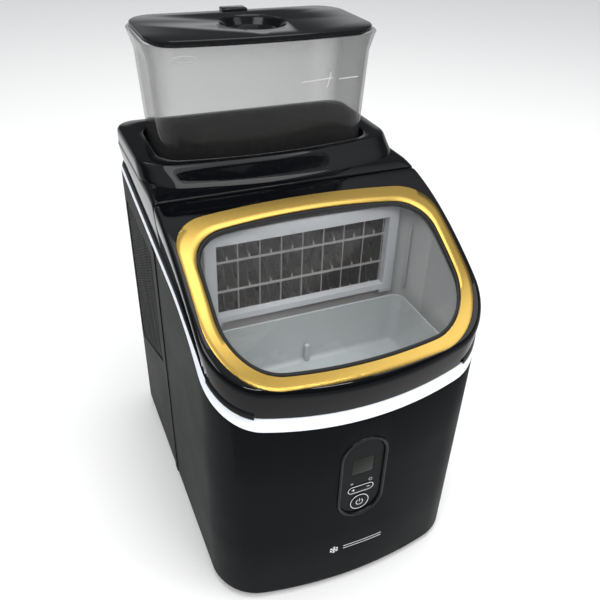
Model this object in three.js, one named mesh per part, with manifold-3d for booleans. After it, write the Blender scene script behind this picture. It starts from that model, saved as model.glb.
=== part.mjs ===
// Countertop ice maker with a lift-off water tank.
// Millimetres. +Z is up, the front faces -Y and X runs to the right.
// The origin is on the floor, under the middle of the body.
import * as THREE from 'three';
import { mergeVertices } from 'three/addons/utils/BufferGeometryUtils.js';
import Module from 'manifold-3d';

const wasm = await Module();
wasm.setup();

// Driving dimensions.
const GAP = 0.35;
const FOOT_HEIGHT = 6;
const BODY = {
  half: 120,
  front: -158.3,
  rear: 165.7,
  bow: 7.2,
  frontRadius: 45,
  rearRadius: 20,
  wall: 3,
  bottom: 6.5,
  seam: 22.7,
};
// The sides lean out by this share of the half width for each millimetre of height.
const WIDENING = 0.0000675;
// White line round the body: its lower edge climbs steeply, bends and runs back gently.
const TRIM = {
  front: [-172, 198.2],
  start: [-112, 241.4],
  bend: [-75.2, 267.9],
  end: [-38, 273.7],
  rear: [175, 306.7],
};
const TRIM_HEIGHT = 9.5;
const TRIM_LEAN = 3.4;
// Top surface of the lid: one quadratic curve from the front edge to the rear cover.
const CROWN = { front: [-165.3, 239], control: [-63.3, 327], rear: [18.7, 335] };
const LID = { rear: 1.2, thickness: 4, skirtInset: 3.3, edgeRadius: 4 };
const HINGE = { y: -3.8, z: 326.9, pinRadius: 1.5, headRadius: 2.6, bracket: 88, bracketWidth: 7.6 };
const BAND = { half: 114.3, front: -157.4, rear: -20.3, bow: 2.6, rearBow: 5, frontRadius: 52, rearRadius: 32 };
const WINDOW = { half: 103.5, front: -149.3, rear: -35.8, bow: 3, rearBow: 4.5, frontRadius: 45, rearRadius: 32 };
const COVER = { front: 1.95, rimTop: 347 };
const WELL = { half: 99.3, front: 48.1, rear: 145.9, bow: 6.7, rearBow: 0, frontRadius: 23, rearRadius: 23 };
const WELL_FLOOR = 291;
const TANK = { half: 95, front: 53, rear: 139.5, floor: 291.4, rim: 441, wall: 2.4 };
const TANK_LID_TOP = 445.6;
const VALVE = { x: 0, y: 97 };
const PANEL = { z: 136, half: 22, height: 94 };
const LINER = { half: 109, front: -150, rear: -23.5, floor: 151 };
const FRAME = { half: 91, front: -33, back: -25, bottom: 222.5, top: 315 };
const GRID = { half: 79.8, front: -24.6, depth: 20, bottom: 225, columns: 8, rows: 3, rowPitch: 29, web: 1.6 };
const BASKET = { half: 99, front: -146, rear: -36.5, floor: 168, rim: 221 };
const FAN = { y: 95, z: 92, radius: 50 };
const HOSE = { pump: [-60, -17], top: [-86, -15] };
const DRAIN = { x: 70, z: 34, sumpZ: 80 };
const SCREWS = [['rear_screw_left', -100], ['rear_screw_right', 100]];
const SCREW_Z = 268;

// Outlines. A ring is a closed list of points, always with the same count,
// so that two rings can be joined point by point.
const FRONT_STEPS = 6;
const CORNER_STEPS = 5;
const SIDE_STEPS = 6;

function edge(from, to, steps, bulge) {
  const points = [];
  for (let i = 0; i < steps; i += 1) {
    const t = i / steps;
    const push = bulge * 4 * t * (1 - t);
    points.push([from[0] + (to[0] - from[0]) * t, from[1] + (to[1] - from[1]) * t + push]);
  }
  return points;
}

function corner(x, y, radius, from, steps) {
  const points = [];
  for (let i = 0; i < steps; i += 1) {
    const angle = from + (Math.PI / 2) * (i / steps);
    points.push([x + radius * Math.cos(angle), y + radius * Math.sin(angle)]);
  }
  return points;
}

function ring({ half, front, rear, bow = 0, rearBow = 0, frontRadius, rearRadius, sideSteps = SIDE_STEPS }) {
  const frontX = half - frontRadius;
  const rearX = half - rearRadius;
  return [
    ...edge([-frontX, front], [frontX, front], FRONT_STEPS, -bow),
    ...corner(frontX, front + frontRadius, frontRadius, -Math.PI / 2, CORNER_STEPS),
    ...edge([half, front + frontRadius], [half, rear - rearRadius], sideSteps, 0),
    ...corner(rearX, rear - rearRadius, rearRadius, 0, CORNER_STEPS),
    ...edge([rearX, rear], [-rearX, rear], FRONT_STEPS, rearBow),
    ...corner(-rearX, rear - rearRadius, rearRadius, Math.PI / 2, CORNER_STEPS),
    ...edge([-half, rear - rearRadius], [-half, front + frontRadius], sideSteps, 0),
    ...corner(-frontX, front + frontRadius, frontRadius, Math.PI, CORNER_STEPS),
  ];
}

function shrink(outline, inset, rearInset = inset) {
  return {
    ...outline,
    half: outline.half - inset,
    front: outline.front + inset,
    rear: outline.rear - rearInset,
    frontRadius: Math.max(outline.frontRadius - inset, 1.5),
    rearRadius: Math.max(outline.rearRadius - inset, 1.5),
  };
}

function trimLine(y) {
  const rise = (a, b) => a[1] + ((y - a[0]) * (b[1] - a[1])) / (b[0] - a[0]);
  if (y < TRIM.start[0]) return rise(TRIM.front, TRIM.start);
  if (y > TRIM.end[0]) return rise(TRIM.end, TRIM.rear);
  return bezierHeight(TRIM.start, TRIM.bend, TRIM.end, y);
}

function crown(y) {
  if (y > CROWN.rear[0]) return CROWN.rear[1];
  if (y < CROWN.front[0]) return CROWN.front[1] + 0.86 * (y - CROWN.front[0]);
  return bezierHeight(CROWN.front, CROWN.control, CROWN.rear, y);
}

function bezierHeight(a, b, c, y) {
  const square = a[0] - 2 * b[0] + c[0];
  const linear = 2 * (b[0] - a[0]);
  const offset = a[0] - y;
  const root = Math.sqrt(linear * linear - 4 * square * offset);
  const t = Math.abs(square) < 1e-6 ? -offset / linear : (root - linear) / (2 * square);
  return a[1] * (1 - t) ** 2 + 2 * b[1] * t * (1 - t) + c[1] * t * t;
}

// Solids.
function indexed(geometry) {
  const bare = new THREE.BufferGeometry();
  bare.setAttribute('position', geometry.getAttribute('position'));
  bare.setIndex(geometry.getIndex());
  return mergeVertices(bare, 1e-4);
}

function solid(geometry) {
  const merged = indexed(geometry);
  const vertProperties = new Float32Array(merged.getAttribute('position').array);
  const triVerts = new Uint32Array(merged.getIndex().array);
  return new wasm.Manifold(new wasm.Mesh({ numProp: 3, vertProperties, triVerts }));
}

function geometryOf(manifold) {
  const mesh = manifold.getMesh();
  const geometry = new THREE.BufferGeometry();
  geometry.setAttribute('position', new THREE.BufferAttribute(mesh.vertProperties, 3));
  geometry.setIndex(new THREE.BufferAttribute(mesh.triVerts, 1));
  return geometry;
}

function cut(base, ...tools) {
  return geometryOf(tools.reduce((whole, tool) => whole.subtract(solid(tool)), solid(base)));
}

function join(base, ...others) {
  return geometryOf(others.reduce((whole, other) => whole.add(solid(other)), solid(base)));
}

function common(base, other) {
  return geometryOf(solid(base).intersect(solid(other)));
}

// A tube of rings that closes on itself. Each ring is { points, z }, with z a height or a function of y.
function loft(rings) {
  const count = rings[0].points.length;
  const positions = [];
  for (const { points, z } of rings) {
    for (const [x, y] of points) positions.push(x, y, typeof z === 'function' ? z(y) : z);
  }
  const indices = [];
  for (let r = 0; r < rings.length; r += 1) {
    const lower = r * count;
    const upper = ((r + 1) % rings.length) * count;
    for (let i = 0; i < count; i += 1) {
      const j = (i + 1) % count;
      indices.push(lower + i, lower + j, upper + j, lower + i, upper + j, upper + i);
    }
  }
  const geometry = new THREE.BufferGeometry();
  geometry.setAttribute('position', new THREE.Float32BufferAttribute(positions, 3));
  geometry.setIndex(indices);
  return geometry;
}

function shapeOf(points) {
  return new THREE.Shape(points.map(([x, y]) => new THREE.Vector2(x, y)));
}

function prism(points, bottom, top) {
  const geometry = new THREE.ExtrudeGeometry(shapeOf(points), { depth: top - bottom, bevelEnabled: false });
  return geometry.translate(0, 0, bottom);
}

// A profile drawn in Y and Z, swept along X.
function sweepX(points, from, to) {
  const geometry = new THREE.ExtrudeGeometry(shapeOf(points), { depth: to - from, bevelEnabled: false });
  const turn = new THREE.Matrix4().makeBasis(
    new THREE.Vector3(0, 1, 0),
    new THREE.Vector3(0, 0, 1),
    new THREE.Vector3(1, 0, 0),
  );
  return geometry.applyMatrix4(turn).translate(from, 0, 0);
}

// A profile drawn in X and Z, swept along Y.
function sweepY(points, from, to) {
  const geometry = new THREE.ExtrudeGeometry(shapeOf(points), { depth: to - from, bevelEnabled: false });
  return geometry.rotateX(Math.PI / 2).translate(0, to, 0);
}

function box(x0, x1, y0, y1, z0, z1) {
  const geometry = new THREE.BoxGeometry(x1 - x0, y1 - y0, z1 - z0);
  return geometry.translate((x0 + x1) / 2, (y0 + y1) / 2, (z0 + z1) / 2);
}

const TURN_TO_AXIS = {
  x: (geometry) => geometry.rotateZ(-Math.PI / 2),
  y: (geometry) => geometry,
  z: (geometry) => geometry.rotateX(Math.PI / 2),
};

// A cylinder along an axis, from one place on it to another, centred on the other two coordinates.
function rod(axis, radius, from, to, centre, sides = 16) {
  const geometry = TURN_TO_AXIS[axis](new THREE.CylinderGeometry(radius, radius, to - from, sides));
  const middle = (from + to) / 2;
  const places = { x: [middle, ...centre], y: [centre[0], middle, centre[1]], z: [...centre, middle] };
  return geometry.translate(...places[axis]);
}

// A turned piece: the profile lists radius and height, and stands upright at x, y.
function turned(profile, x, y, sides = 16) {
  const points = profile.map(([radius, height]) => new THREE.Vector2(radius, height));
  return new THREE.LatheGeometry(points, sides).rotateX(Math.PI / 2).translate(x, y, 0);
}

function tube(points, radius, steps, sides = 8) {
  const path = new THREE.CatmullRomCurve3(points.map((point) => new THREE.Vector3(...point)), false, 'centripetal');
  const section = [];
  for (let i = 0; i < sides; i += 1) {
    const angle = (2 * Math.PI * i) / sides;
    section.push([radius * Math.cos(angle), radius * Math.sin(angle)]);
  }
  return new THREE.ExtrudeGeometry(shapeOf(section), { steps, extrudePath: path, bevelEnabled: false });
}

// Widens a housing piece with its height, as the leaning sides do.
function widen(geometry) {
  const position = geometry.getAttribute('position');
  for (let i = 0; i < position.count; i += 1) {
    position.setX(i, position.getX(i) * (1 + WIDENING * position.getZ(i)));
  }
  return geometry;
}

const body = (inset, rearInset = inset) => ring(shrink(BODY, inset, rearInset));

const machine = new THREE.Group();

function add(name, geometry, colour, roughness, metalness = 0, look = {}) {
  const whole = indexed(geometry);
  whole.computeVertexNormals();
  const material = new THREE.MeshStandardMaterial({ color: colour, roughness, metalness, ...look });
  const mesh = new THREE.Mesh(whole, material);
  mesh.name = name;
  machine.add(mesh);
  return mesh;
}

const MATTE_BLACK = 0x24272b;
const GLOSS_BLACK = 0x0a0b0e;
const WHITE = 0xf2f4f7;
const LINER_GREY = 0xbfc3c4;
const RUBBER = 0x1b1b1c;
const STEEL = 0xa9adb0;
const COPPER = 0xb5713f;

// Everything under the trim line, or above it when lifted.
function belowTrim(rise) {
  const points = [[-190, -20], [190, -20]];
  for (let y = 190; y > -40; y -= 100) points.push([y, trimLine(y) + rise]);
  for (let y = -38; y >= -120; y -= 8) points.push([y, trimLine(y) + rise]);
  points.push([-190, trimLine(-190) + rise]);
  return sweepX(points, -140, 140);
}

// A slab that follows the lid's top surface, from a depth below it to a height above it.
function crownSlab(below, above, from, to) {
  const steps = 14;
  const at = (i) => from + ((to - from) * i) / steps;
  const points = [];
  for (let i = 0; i <= steps; i += 1) points.push([at(i), crown(at(i)) - below]);
  for (let i = steps; i >= 0; i -= 1) points.push([at(i), crown(at(i)) + above]);
  return sweepX(points, -130, 130);
}

function stadium(halfWidth, halfHeight, centreX, centreZ) {
  const straight = halfHeight - halfWidth;
  const points = [];
  for (const [side, from] of [[1, 0], [-1, Math.PI]]) {
    for (let i = 0; i <= 10; i += 1) {
      const angle = from + (Math.PI * i) / 10;
      points.push([centreX + halfWidth * Math.cos(angle), centreZ + side * straight + halfWidth * Math.sin(angle)]);
    }
  }
  return points;
}

// Housing shells.
function shellWall() {
  const wall = cut(prism(body(0), BODY.bottom, 330), prism(body(BODY.wall), 0, 340));
  return common(wall, belowTrim(-0.3));
}

function frontShell() {
  const front = common(shellWall(), box(-150, 150, -190, BODY.seam - 0.2, -10, 400));
  const hole = sweepY(stadium(PANEL.half + GAP, PANEL.height / 2 + GAP, 0, PANEL.z), -185, -140);
  return widen(cut(front, hole));
}

// Wedge-shaped vent in each side, in Y and Z.
function ventShape(inset) {
  return [
    [33 + inset, 146 + 2.6 * inset],
    [134 - inset, 106 + 0.6 * inset],
    [141 - inset, 112 + inset],
    [141 - inset, 268 - inset],
    [134 - inset, 276 - inset],
    [36 + inset, 268 - inset],
    [33 + inset, 264 - inset],
  ];
}

function rearShell() {
  const rear = common(shellWall(), box(-150, 150, BODY.seam + 0.2, 190, -10, 400));
  const vents = sweepX(ventShape(0), -150, 150);
  const grille = box(-64, 64, 150, 180, 150, 250);
  const shell = widen(cut(rear, vents, grille));
  const inlet = box(-98.4, -63.6, 150, 180, 31.6, 60.4);
  const drain = rod('y', 12.4, 150, 180, [DRAIN.x, DRAIN.z], 20);
  const screws = SCREWS.map(([, x]) => rod('y', 2.2, 150, 180, [x, SCREW_Z], 10));
  const heads = SCREWS.map(([, x]) => rod('y', 4.2, 164.2, 180, [x, SCREW_Z], 12));
  return cut(shell, inlet, drain, ...screws, ...heads);
}

function ventGrille(side) {
  const inner = Math.min(side * 117.4, side * 119.6);
  const plate = sweepX(ventShape(GAP), inner, inner + 2.2);
  const slots = [];
  for (let z = 124; z < 262; z += 12) {
    const from = z < 150 ? 33 + (150 - z) * 2.4 + 8 : 41;
    slots.push(box(-150, 150, from, 133, z, z + 6));
  }
  return widen(cut(plate, ...slots));
}

function rearGrille() {
  const plate = box(-63.6, 63.6, 162.9, 165.4, 150.4, 249.6);
  const slots = [];
  for (let i = 0; i < 8; i += 1) slots.push(box(-56, 56, 150, 180, 157 + 11 * i, 163 + 11 * i));
  return cut(plate, ...slots);
}

function baseTray() {
  const block = prism(body(BODY.wall + GAP), BODY.bottom, 22);
  return cut(block, prism(body(BODY.wall + 3), 9.5, 30));
}

function foot(x, y) {
  return turned([[0, 0], [9, 0], [10.5, 1.5], [10.5, 4.5], [8, FOOT_HEIGHT], [0, FOOT_HEIGHT]], x, y, 14);
}

function trimStrip() {
  const outline = (inset) => ring({ ...shrink(BODY, inset), sideSteps: 20 });
  const lower = (y) => trimLine(y) + GAP;
  const upper = (y) => trimLine(y) + TRIM_HEIGHT;
  return widen(loft([
    { points: outline(0.1), z: lower },
    { points: outline(TRIM_LEAN), z: upper },
    { points: outline(TRIM_LEAN + 3.5), z: upper },
    { points: outline(TRIM_LEAN + 3.5), z: lower },
  ]));
}

// Lid.
const lidOutline = (inset, rearInset) => ring(shrink({ ...BODY, rear: LID.rear, rearRadius: 4 }, inset, rearInset));

function lidFrame() {
  const foot = (y) => trimLine(y) + TRIM_HEIGHT + 0.6;
  const top = (drop) => (y) => crown(y) - drop;
  const whole = loft([
    { points: lidOutline(LID.skirtInset, 0), z: foot },
    { points: lidOutline(0.3, 0), z: top(LID.edgeRadius) },
    { points: lidOutline(0.8, 0.6), z: top(1.9) },
    { points: lidOutline(2, 1.9), z: top(0.6) },
    { points: lidOutline(4, 3.6), z: top(0) },
    { points: ring(shrink(BAND, -GAP)), z: top(0) },
    { points: ring(shrink(BAND, -GAP)), z: top(1.1) },
    { points: ring(WINDOW), z: top(1.1) },
    { points: ring(WINDOW), z: top(LID.thickness) },
    { points: lidOutline(7, 9), z: top(LID.thickness) },
    { points: lidOutline(4.4, 8), z: top(LID.thickness + 4) },
    { points: lidOutline(LID.skirtInset + 2.8, 8), z: foot },
  ]);
  const shell = widen(join(whole, ledge(-1), ledge(1)));
  const rearSkirt = box(-112, 112, -16, 20, 270, 322);
  const pockets = [-1, 1].flatMap((side) => [bracketPocket(side, 328.5), headPocket(side), pinHole(side)]);
  return cut(shell, rearSkirt, ...pockets);
}

// Room for a hinge bracket up to a height, for its round head, and for its pin.
function bracketSpan(side, margin) {
  const near = side * (HINGE.bracket - margin);
  const far = side * (HINGE.bracket + HINGE.bracketWidth + margin);
  return [Math.min(near, far), Math.max(near, far)];
}

function bracketPocket(side, top) {
  return box(...bracketSpan(side, 0.5), HINGE.y - 3, 27, 270, top);
}

function headPocket(side) {
  return rod('x', HINGE.headRadius + 0.4, ...bracketSpan(side, 0.5), [HINGE.y, HINGE.z], 20);
}

function pinHole(side) {
  const from = Math.min(side * 95, side * 116.6);
  return rod('x', HINGE.pinRadius + 0.3, from, from + 21.6, [HINGE.y, HINGE.z], 12);
}

// Finger ledge at a front corner, low on the lid's skirt.
function ledge(side) {
  const low = (y) => trimLine(y) + TRIM_HEIGHT + 1.2;
  const band = loft([
    { points: lidOutline(1.2, 0), z: low },
    { points: lidOutline(1.2, 0), z: (y) => low(y) + 4 },
    { points: lidOutline(3, 0), z: (y) => low(y) + 8 },
    { points: lidOutline(5, 0), z: (y) => low(y) + 8 },
    { points: lidOutline(5, 0), z: low },
  ]);
  const from = Math.min(side * 96, side * 140);
  return common(band, box(from, from + 44, -190, -112, 150, 400));
}

function goldBand() {
  return widen(loft([
    { points: ring(BAND), z: (y) => crown(y) - 0.8 },
    { points: ring(BAND), z: (y) => crown(y) + 0.1 },
    { points: ring(shrink(WINDOW, 0.2)), z: (y) => crown(y) + 0.1 },
    { points: ring(shrink(WINDOW, 0.2)), z: (y) => crown(y) - 0.8 },
  ]));
}

function windowGasket() {
  return widen(loft([
    { points: ring(shrink(WINDOW, 0.5)), z: (y) => crown(y) - 3.6 },
    { points: ring(shrink(WINDOW, 0.5)), z: (y) => crown(y) - 0.6 },
    { points: ring(shrink(WINDOW, 3)), z: (y) => crown(y) - 0.6 },
    { points: ring(shrink(WINDOW, 3)), z: (y) => crown(y) - 3.6 },
  ]));
}

function lidWindow() {
  const slab = crownSlab(3.4, -1.2, -175, 10);
  return widen(common(slab, prism(ring(shrink(WINDOW, 3.4)), 200, 360)));
}

function hingePin(side) {
  const from = Math.min(side * 96, side * 115.5);
  return rod('x', HINGE.pinRadius, from, from + 19.5, [HINGE.y, HINGE.z], 12);
}

// Bracket under the rear cover that carries the pin's inner end: a round head on a neck and an arm.
function hingeBracket(side) {
  const front = HINGE.y - HINGE.headRadius;
  const neck = HINGE.y - 0.1;
  const outline = [[front, 314], [26, 314], [26, 327.6], [10, 327.6], [10, 319.8], [neck, 319.8], [neck, 324.1]];
  for (let i = -2; i <= 8; i += 1) {
    const angle = (Math.PI * i) / 8;
    outline.push([HINGE.y + HINGE.headRadius * Math.cos(angle), HINGE.z + HINGE.headRadius * Math.sin(angle)]);
  }
  return sweepX(outline, ...bracketSpan(side, 0));
}

// Rear cover with the raised rim round the tank well.
const coverOutline = (inset, frontInset = 0) => ring({
  ...shrink(BODY, inset),
  front: COVER.front + frontInset,
  bow: 0,
  frontRadius: 3,
});

const rimOutline = (inset, front, radius) => ring({
  ...shrink(BODY, inset),
  front,
  bow: WELL.bow,
  frontRadius: radius,
});

// The flat deck behind the lid, with the skirt round the sides and the rear.
function coverDeck() {
  const foot = (y) => trimLine(y) + TRIM_HEIGHT + 0.6;
  return loft([
    { points: coverOutline(LID.skirtInset), z: foot },
    { points: coverOutline(0.3), z: (y) => crown(y) - 4 },
    { points: coverOutline(0.8, 0.3), z: (y) => crown(y) - 1.9 },
    { points: coverOutline(2, 0.9), z: (y) => crown(y) - 0.6 },
    { points: coverOutline(4, 1.8), z: crown },
    { points: rimOutline(7, 24, 34), z: crown },
    { points: rimOutline(7, 24, 34), z: 330 },
    { points: coverOutline(6.6, 6), z: 328 },
    { points: coverOutline(LID.skirtInset + 2.8, 6), z: foot },
  ]);
}

// The raised rim: a ramp in front, a flat top and the wall of the tank well, hollow underneath.
function coverRim() {
  return loft([
    { points: rimOutline(2.5, 14.7, 40), z: 326 },
    { points: rimOutline(0.9, 17.7, 38), z: 333 },
    { points: rimOutline(0.9, 23.7, 36), z: 337.5 },
    { points: rimOutline(0.9, 32.7, 32), z: 342 },
    { points: rimOutline(1.6, 39.7, 28), z: 345.6 },
    { points: rimOutline(4, 42.2, 26), z: COVER.rimTop },
    { points: ring(shrink(WELL, -1.2)), z: COVER.rimTop },
    { points: ring(WELL), z: COVER.rimTop - 1.2 },
    { points: ring(WELL), z: 312 },
    { points: ring(shrink(WELL, -2.5)), z: 312 },
    { points: ring(shrink(WELL, -2.5)), z: 342 },
    { points: rimOutline(5, 44.9, 24), z: 342 },
    { points: rimOutline(5, 19, 38), z: 329 },
  ]);
}

function tankCollar() {
  const frontSkirt = box(-112, 112, -20, 9, 270, 326);
  const shell = cut(join(coverDeck(), coverRim()), frontSkirt);
  return cut(widen(shell), bracketPocket(-1, 328), bracketPocket(1, 328));
}

function tankWell() {
  const outline = (inset) => ring({ ...shrink(WELL, inset), sideSteps: 1 });
  const block = prism(outline(0.5), WELL_FLOOR - 3, 340);
  const hollow = prism(outline(2.1), WELL_FLOOR, 350);
  const port = rod('z', 17, WELL_FLOOR - 10, WELL_FLOOR + 10, [VALVE.x, VALVE.y], 20);
  return widen(cut(block, hollow, port));
}

function wellPort() {
  const stem = [[0, 272], [6, 272], [6, 281], [16.4, 281], [16.4, 290.6]];
  const cup = [[14.5, 290.6], [14.5, 284], [2.6, 284], [2.6, 286], [0, 286]];
  return turned([...stem, ...cup], VALVE.x, VALVE.y, 16);
}

// Water tank, its lid and its valve.
function tankOutline(rise, inset = 0) {
  return ring({
    half: TANK.half + 8 * rise - inset,
    front: TANK.front - 3.5 * rise + inset,
    rear: TANK.rear + 13.5 * rise - inset,
    bow: 4,
    frontRadius: 22 + 3 * rise - inset,
    rearRadius: 22 + 3 * rise - inset,
    sideSteps: 1,
  });
}

function waterTank() {
  const wall = TANK.wall;
  const shell = loft([
    { points: tankOutline(0, 6), z: TANK.floor },
    { points: tankOutline(0, 1.5), z: TANK.floor + 2 },
    { points: tankOutline(0.05, 0), z: TANK.floor + 8 },
    { points: tankOutline(0.85, 0), z: 425 },
    { points: tankOutline(1, -1.5), z: 433 },
    { points: tankOutline(1, -4), z: TANK.rim },
    { points: tankOutline(1, -1.7), z: TANK.rim },
    { points: tankOutline(1, wall - 1), z: 433 },
    { points: tankOutline(0.85, wall), z: 425 },
    { points: tankOutline(0.05, wall), z: TANK.floor + 8 },
    { points: tankOutline(0, wall + 3), z: TANK.floor + 3 },
  ]);
  const floor = prism(tankOutline(0, 5.5), TANK.floor, TANK.floor + 3);
  const hole = rod('z', 12.4, 280, 310, [VALVE.x, VALVE.y]);
  return cut(join(shell, floor), hole);
}

function tankLid() {
  const outline = (inset) => ring({
    half: 103.7 - inset,
    front: 50.4 + inset,
    rear: 155 - inset,
    bow: 4,
    frontRadius: Math.max(26.4 - inset, 1.5),
    rearRadius: Math.max(26.4 - inset, 1.5),
    sideSteps: 1,
  });
  const plate = loft([
    { points: outline(0), z: TANK.rim + GAP },
    { points: outline(0), z: TANK_LID_TOP - 1 },
    { points: outline(1), z: TANK_LID_TOP },
    { points: outline(45), z: TANK_LID_TOP },
    { points: outline(45), z: TANK.rim + GAP },
  ]);
  const middle = box(-64, 64, 85, 115, TANK.rim + GAP, TANK_LID_TOP);
  const plug = cut(prism(outline(3.6), 434, 443), prism(outline(6), 430, 442));
  const bowl = rod('z', 32, 434, 443, [0, 100], 32);
  const tab = box(-12, 12, 150, 162, TANK.rim + 1.2, TANK_LID_TOP + 0.4);
  const recess = rod('z', 29.5, 436.5, 460, [0, 100], 32);
  return cut(join(plate, middle, plug, bowl, tab), recess);
}

function valveBody() {
  const outside = [[12, 288.6], [12, 294.8], [16, 294.8], [16, 297], [5, 297]];
  const inside = [[5, 293.4], [9, 293.4], [9, 288.6]];
  return turned([...outside, ...inside, outside[0]], VALVE.x, VALVE.y);
}

function valvePlunger() {
  const stem = [[0, 286.4], [5.6, 286.4], [5.6, 288], [3, 288]];
  const cap = [[3, 301], [7.5, 301], [7.5, 302.8], [0, 302.8]];
  return turned([...stem, ...cap], VALVE.x, VALVE.y, 14);
}

function valveSpring() {
  const points = [];
  for (let i = 0; i <= 32; i += 1) {
    const angle = (2 * Math.PI * i) / 10;
    points.push([VALVE.x + 4.4 * Math.cos(angle), VALVE.y + 4.4 * Math.sin(angle), 288.8 + 0.125 * i]);
  }
  return tube(points, 0.45, 36, 4);
}

function tankSeal() {
  const profile = [[12.4, 288.4], [14, 288.4], [14, 290.4], [12.4, 290.4]];
  return turned([...profile, profile[0]], VALVE.x, VALVE.y);
}

// Ice bin.
function binLiner() {
  const whole = { ...BODY, ...LINER, frontRadius: 38, rearRadius: 14 };
  const outline = (inset) => ring({ ...shrink(whole, inset), sideSteps: 1 });
  const tub = cut(prism(outline(0), LINER.floor - 2.5, 330), prism(outline(2.5), LINER.floor, 340));
  const topPoints = [[-190, 100], [60, 100]];
  for (let y = 60; y >= -190; y -= 10) topPoints.push([y, crown(y) - 13]);
  const trimmed = common(tub, sweepX(topPoints, -140, 140));
  const back = box(-FRAME.half - 0.5, FRAME.half + 0.5, -35, -10, FRAME.bottom - 0.5, 340);
  const drain = rod('z', 6, 140, 160, [0, -60]);
  return cut(trimmed, back, drain);
}

function iceBasket() {
  const outline = (rise, inset) => ring({
    half: BASKET.half - 5 + 5 * rise - inset,
    front: BASKET.front + 5 - 5 * rise + inset,
    rear: BASKET.rear - 3 + 3 * rise - inset,
    bow: 5,
    frontRadius: 30 - inset,
    rearRadius: 12 - Math.min(inset, 9),
    sideSteps: 1,
  });
  const shell = loft([
    { points: outline(0, 3), z: BASKET.floor },
    { points: outline(0.06, 0), z: BASKET.floor + 4 },
    { points: outline(1, 0), z: BASKET.rim },
    { points: outline(1, 2), z: BASKET.rim },
    { points: outline(0.06, 2), z: BASKET.floor + 4 },
    { points: outline(0, 5), z: BASKET.floor + 2 },
  ]);
  const floor = prism(outline(0, 2.5), BASKET.floor, BASKET.floor + 2);
  const holes = [];
  for (const x of [-60, -30, 30, 60]) {
    for (const y of [-115, -90, -65]) holes.push(box(x - 10, x + 10, y - 2, y + 2, 160, 180));
  }
  return cut(join(shell, floor), ...holes);
}

function evaporatorFrame() {
  const outer = box(-FRAME.half, FRAME.half, FRAME.front, FRAME.back, FRAME.bottom, FRAME.top);
  const opening = box(-82, 82, FRAME.front - 5, FRAME.back + 5, 231, 304);
  return cut(outer, opening);
}

function evaporatorGrid() {
  const { half, front, depth, bottom, columns, rows, rowPitch, web } = GRID;
  const top = bottom + rows * rowPitch;
  const block = box(-half, half, front, front + depth, bottom, top);
  const pockets = [];
  const pitch = (2 * half - web) / columns;
  for (let column = 0; column < columns; column += 1) {
    for (let row = 0; row < rows; row += 1) {
      const x = -half + web + column * pitch;
      const z = bottom + web + row * rowPitch;
      pockets.push(box(x, x + pitch - web, front - 5, front + depth - web, z, z + rowPitch - web));
    }
  }
  return cut(block, ...pockets);
}

function evaporatorTube() {
  const y = GRID.front + GRID.depth + 3.6;
  const points = [[-60, y, 214], [-60, y, 236], [-52, y, 240]];
  for (const [z, from, to] of [[240, -52, 66], [262, 66, -66], [284, -66, 66]]) {
    points.push([from, y, z], [(from + to) / 2, y, z], [to, y, z]);
    points.push([to + 8 * Math.sign(to), y, z + 11]);
  }
  points.push([66, y, 306], [0, y, 306]);
  return tube(points, 3, 38, 6);
}

function waterDistributor() {
  const pipe = rod('x', 3.6, -90, 76, [HOSE.top[1], 316.4], 12);
  const inlet = rod('z', 2.6, 300, 316, [HOSE.top[0], HOSE.top[1]], 10);
  return join(pipe, inlet);
}

// Water circuit. The hose rises behind the liner and then beside the evaporator.
function waterSump() {
  const whole = { ...BODY, half: 104, front: -147, rear: -8, frontRadius: 34, rearRadius: 10 };
  const outline = (inset) => ring({ ...shrink(whole, inset), sideSteps: 1 });
  const tub = cut(prism(outline(0), 70, 144), prism(outline(2.5), 72.5, 150));
  const drain = rod('y', 5, -20, 0, [DRAIN.x, DRAIN.sumpZ]);
  return cut(tub, drain);
}

function circulationPump() {
  const motor = rod('z', 14, 74, 108, [HOSE.pump[0], -38]);
  const volute = rod('z', 20, 73, 86, [HOSE.pump[0], -33]);
  const outlet = rod('z', 4, 84, 118, HOSE.pump, 12);
  return join(volute, motor, outlet);
}

function pumpHose() {
  const points = [[...HOSE.pump, 118.4], [...HOSE.pump, 140], [...HOSE.pump, 165], [-70, -16, 188]];
  points.push([...HOSE.top, 208], [...HOSE.top, 235], [...HOSE.top, 270], [...HOSE.top, 299.6]);
  return tube(points, 4, 22, 6);
}

function drainHose() {
  const route = [[-4, 80], [6, 80], [20, 79], [34, 66], [44, 46], [58, 35.5], [80, 34], [120, 34], [159, 34]];
  return tube(route.map(([y, z]) => [DRAIN.x, y, z]), 4.2, 24, 6);
}

function levelProbe() {
  const head = box(30, 50, -30, -24, 118, 134);
  const rods = [35, 45].map((x) => rod('z', 1.6, 82, 120, [x, -27], 10));
  return join(head, ...rods);
}

// Refrigeration.
const MOUNTS = [
  ['compressor_mount_left', -98, 50],
  ['compressor_mount_right', -2, 50],
  ['compressor_mount_rear', -50, 149],
];

function compressor() {
  const lower = [[0, 22], [40, 22], [46, 30], [47, 70], [49, 72], [49, 76]];
  const upper = [[47, 78], [46, 118], [38, 134], [18, 142], [0, 144]];
  const can = turned([...lower, ...upper], -50, 98, 20);
  const holes = MOUNTS.map(([, x, y]) => rod('z', 4, 10, 30, [x, y], 12));
  const plate = cut(box(-106, 6, 42, 157, 19.5, 23), ...holes);
  return join(can, plate);
}

function compressorMount(x, y) {
  const profile = [[0, 10], [9, 10], [9, 13], [6, 15], [8, 19.1], [3.4, 19.1], [3.4, 26], [0, 26]];
  return turned(profile, x, y, 12);
}

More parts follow.
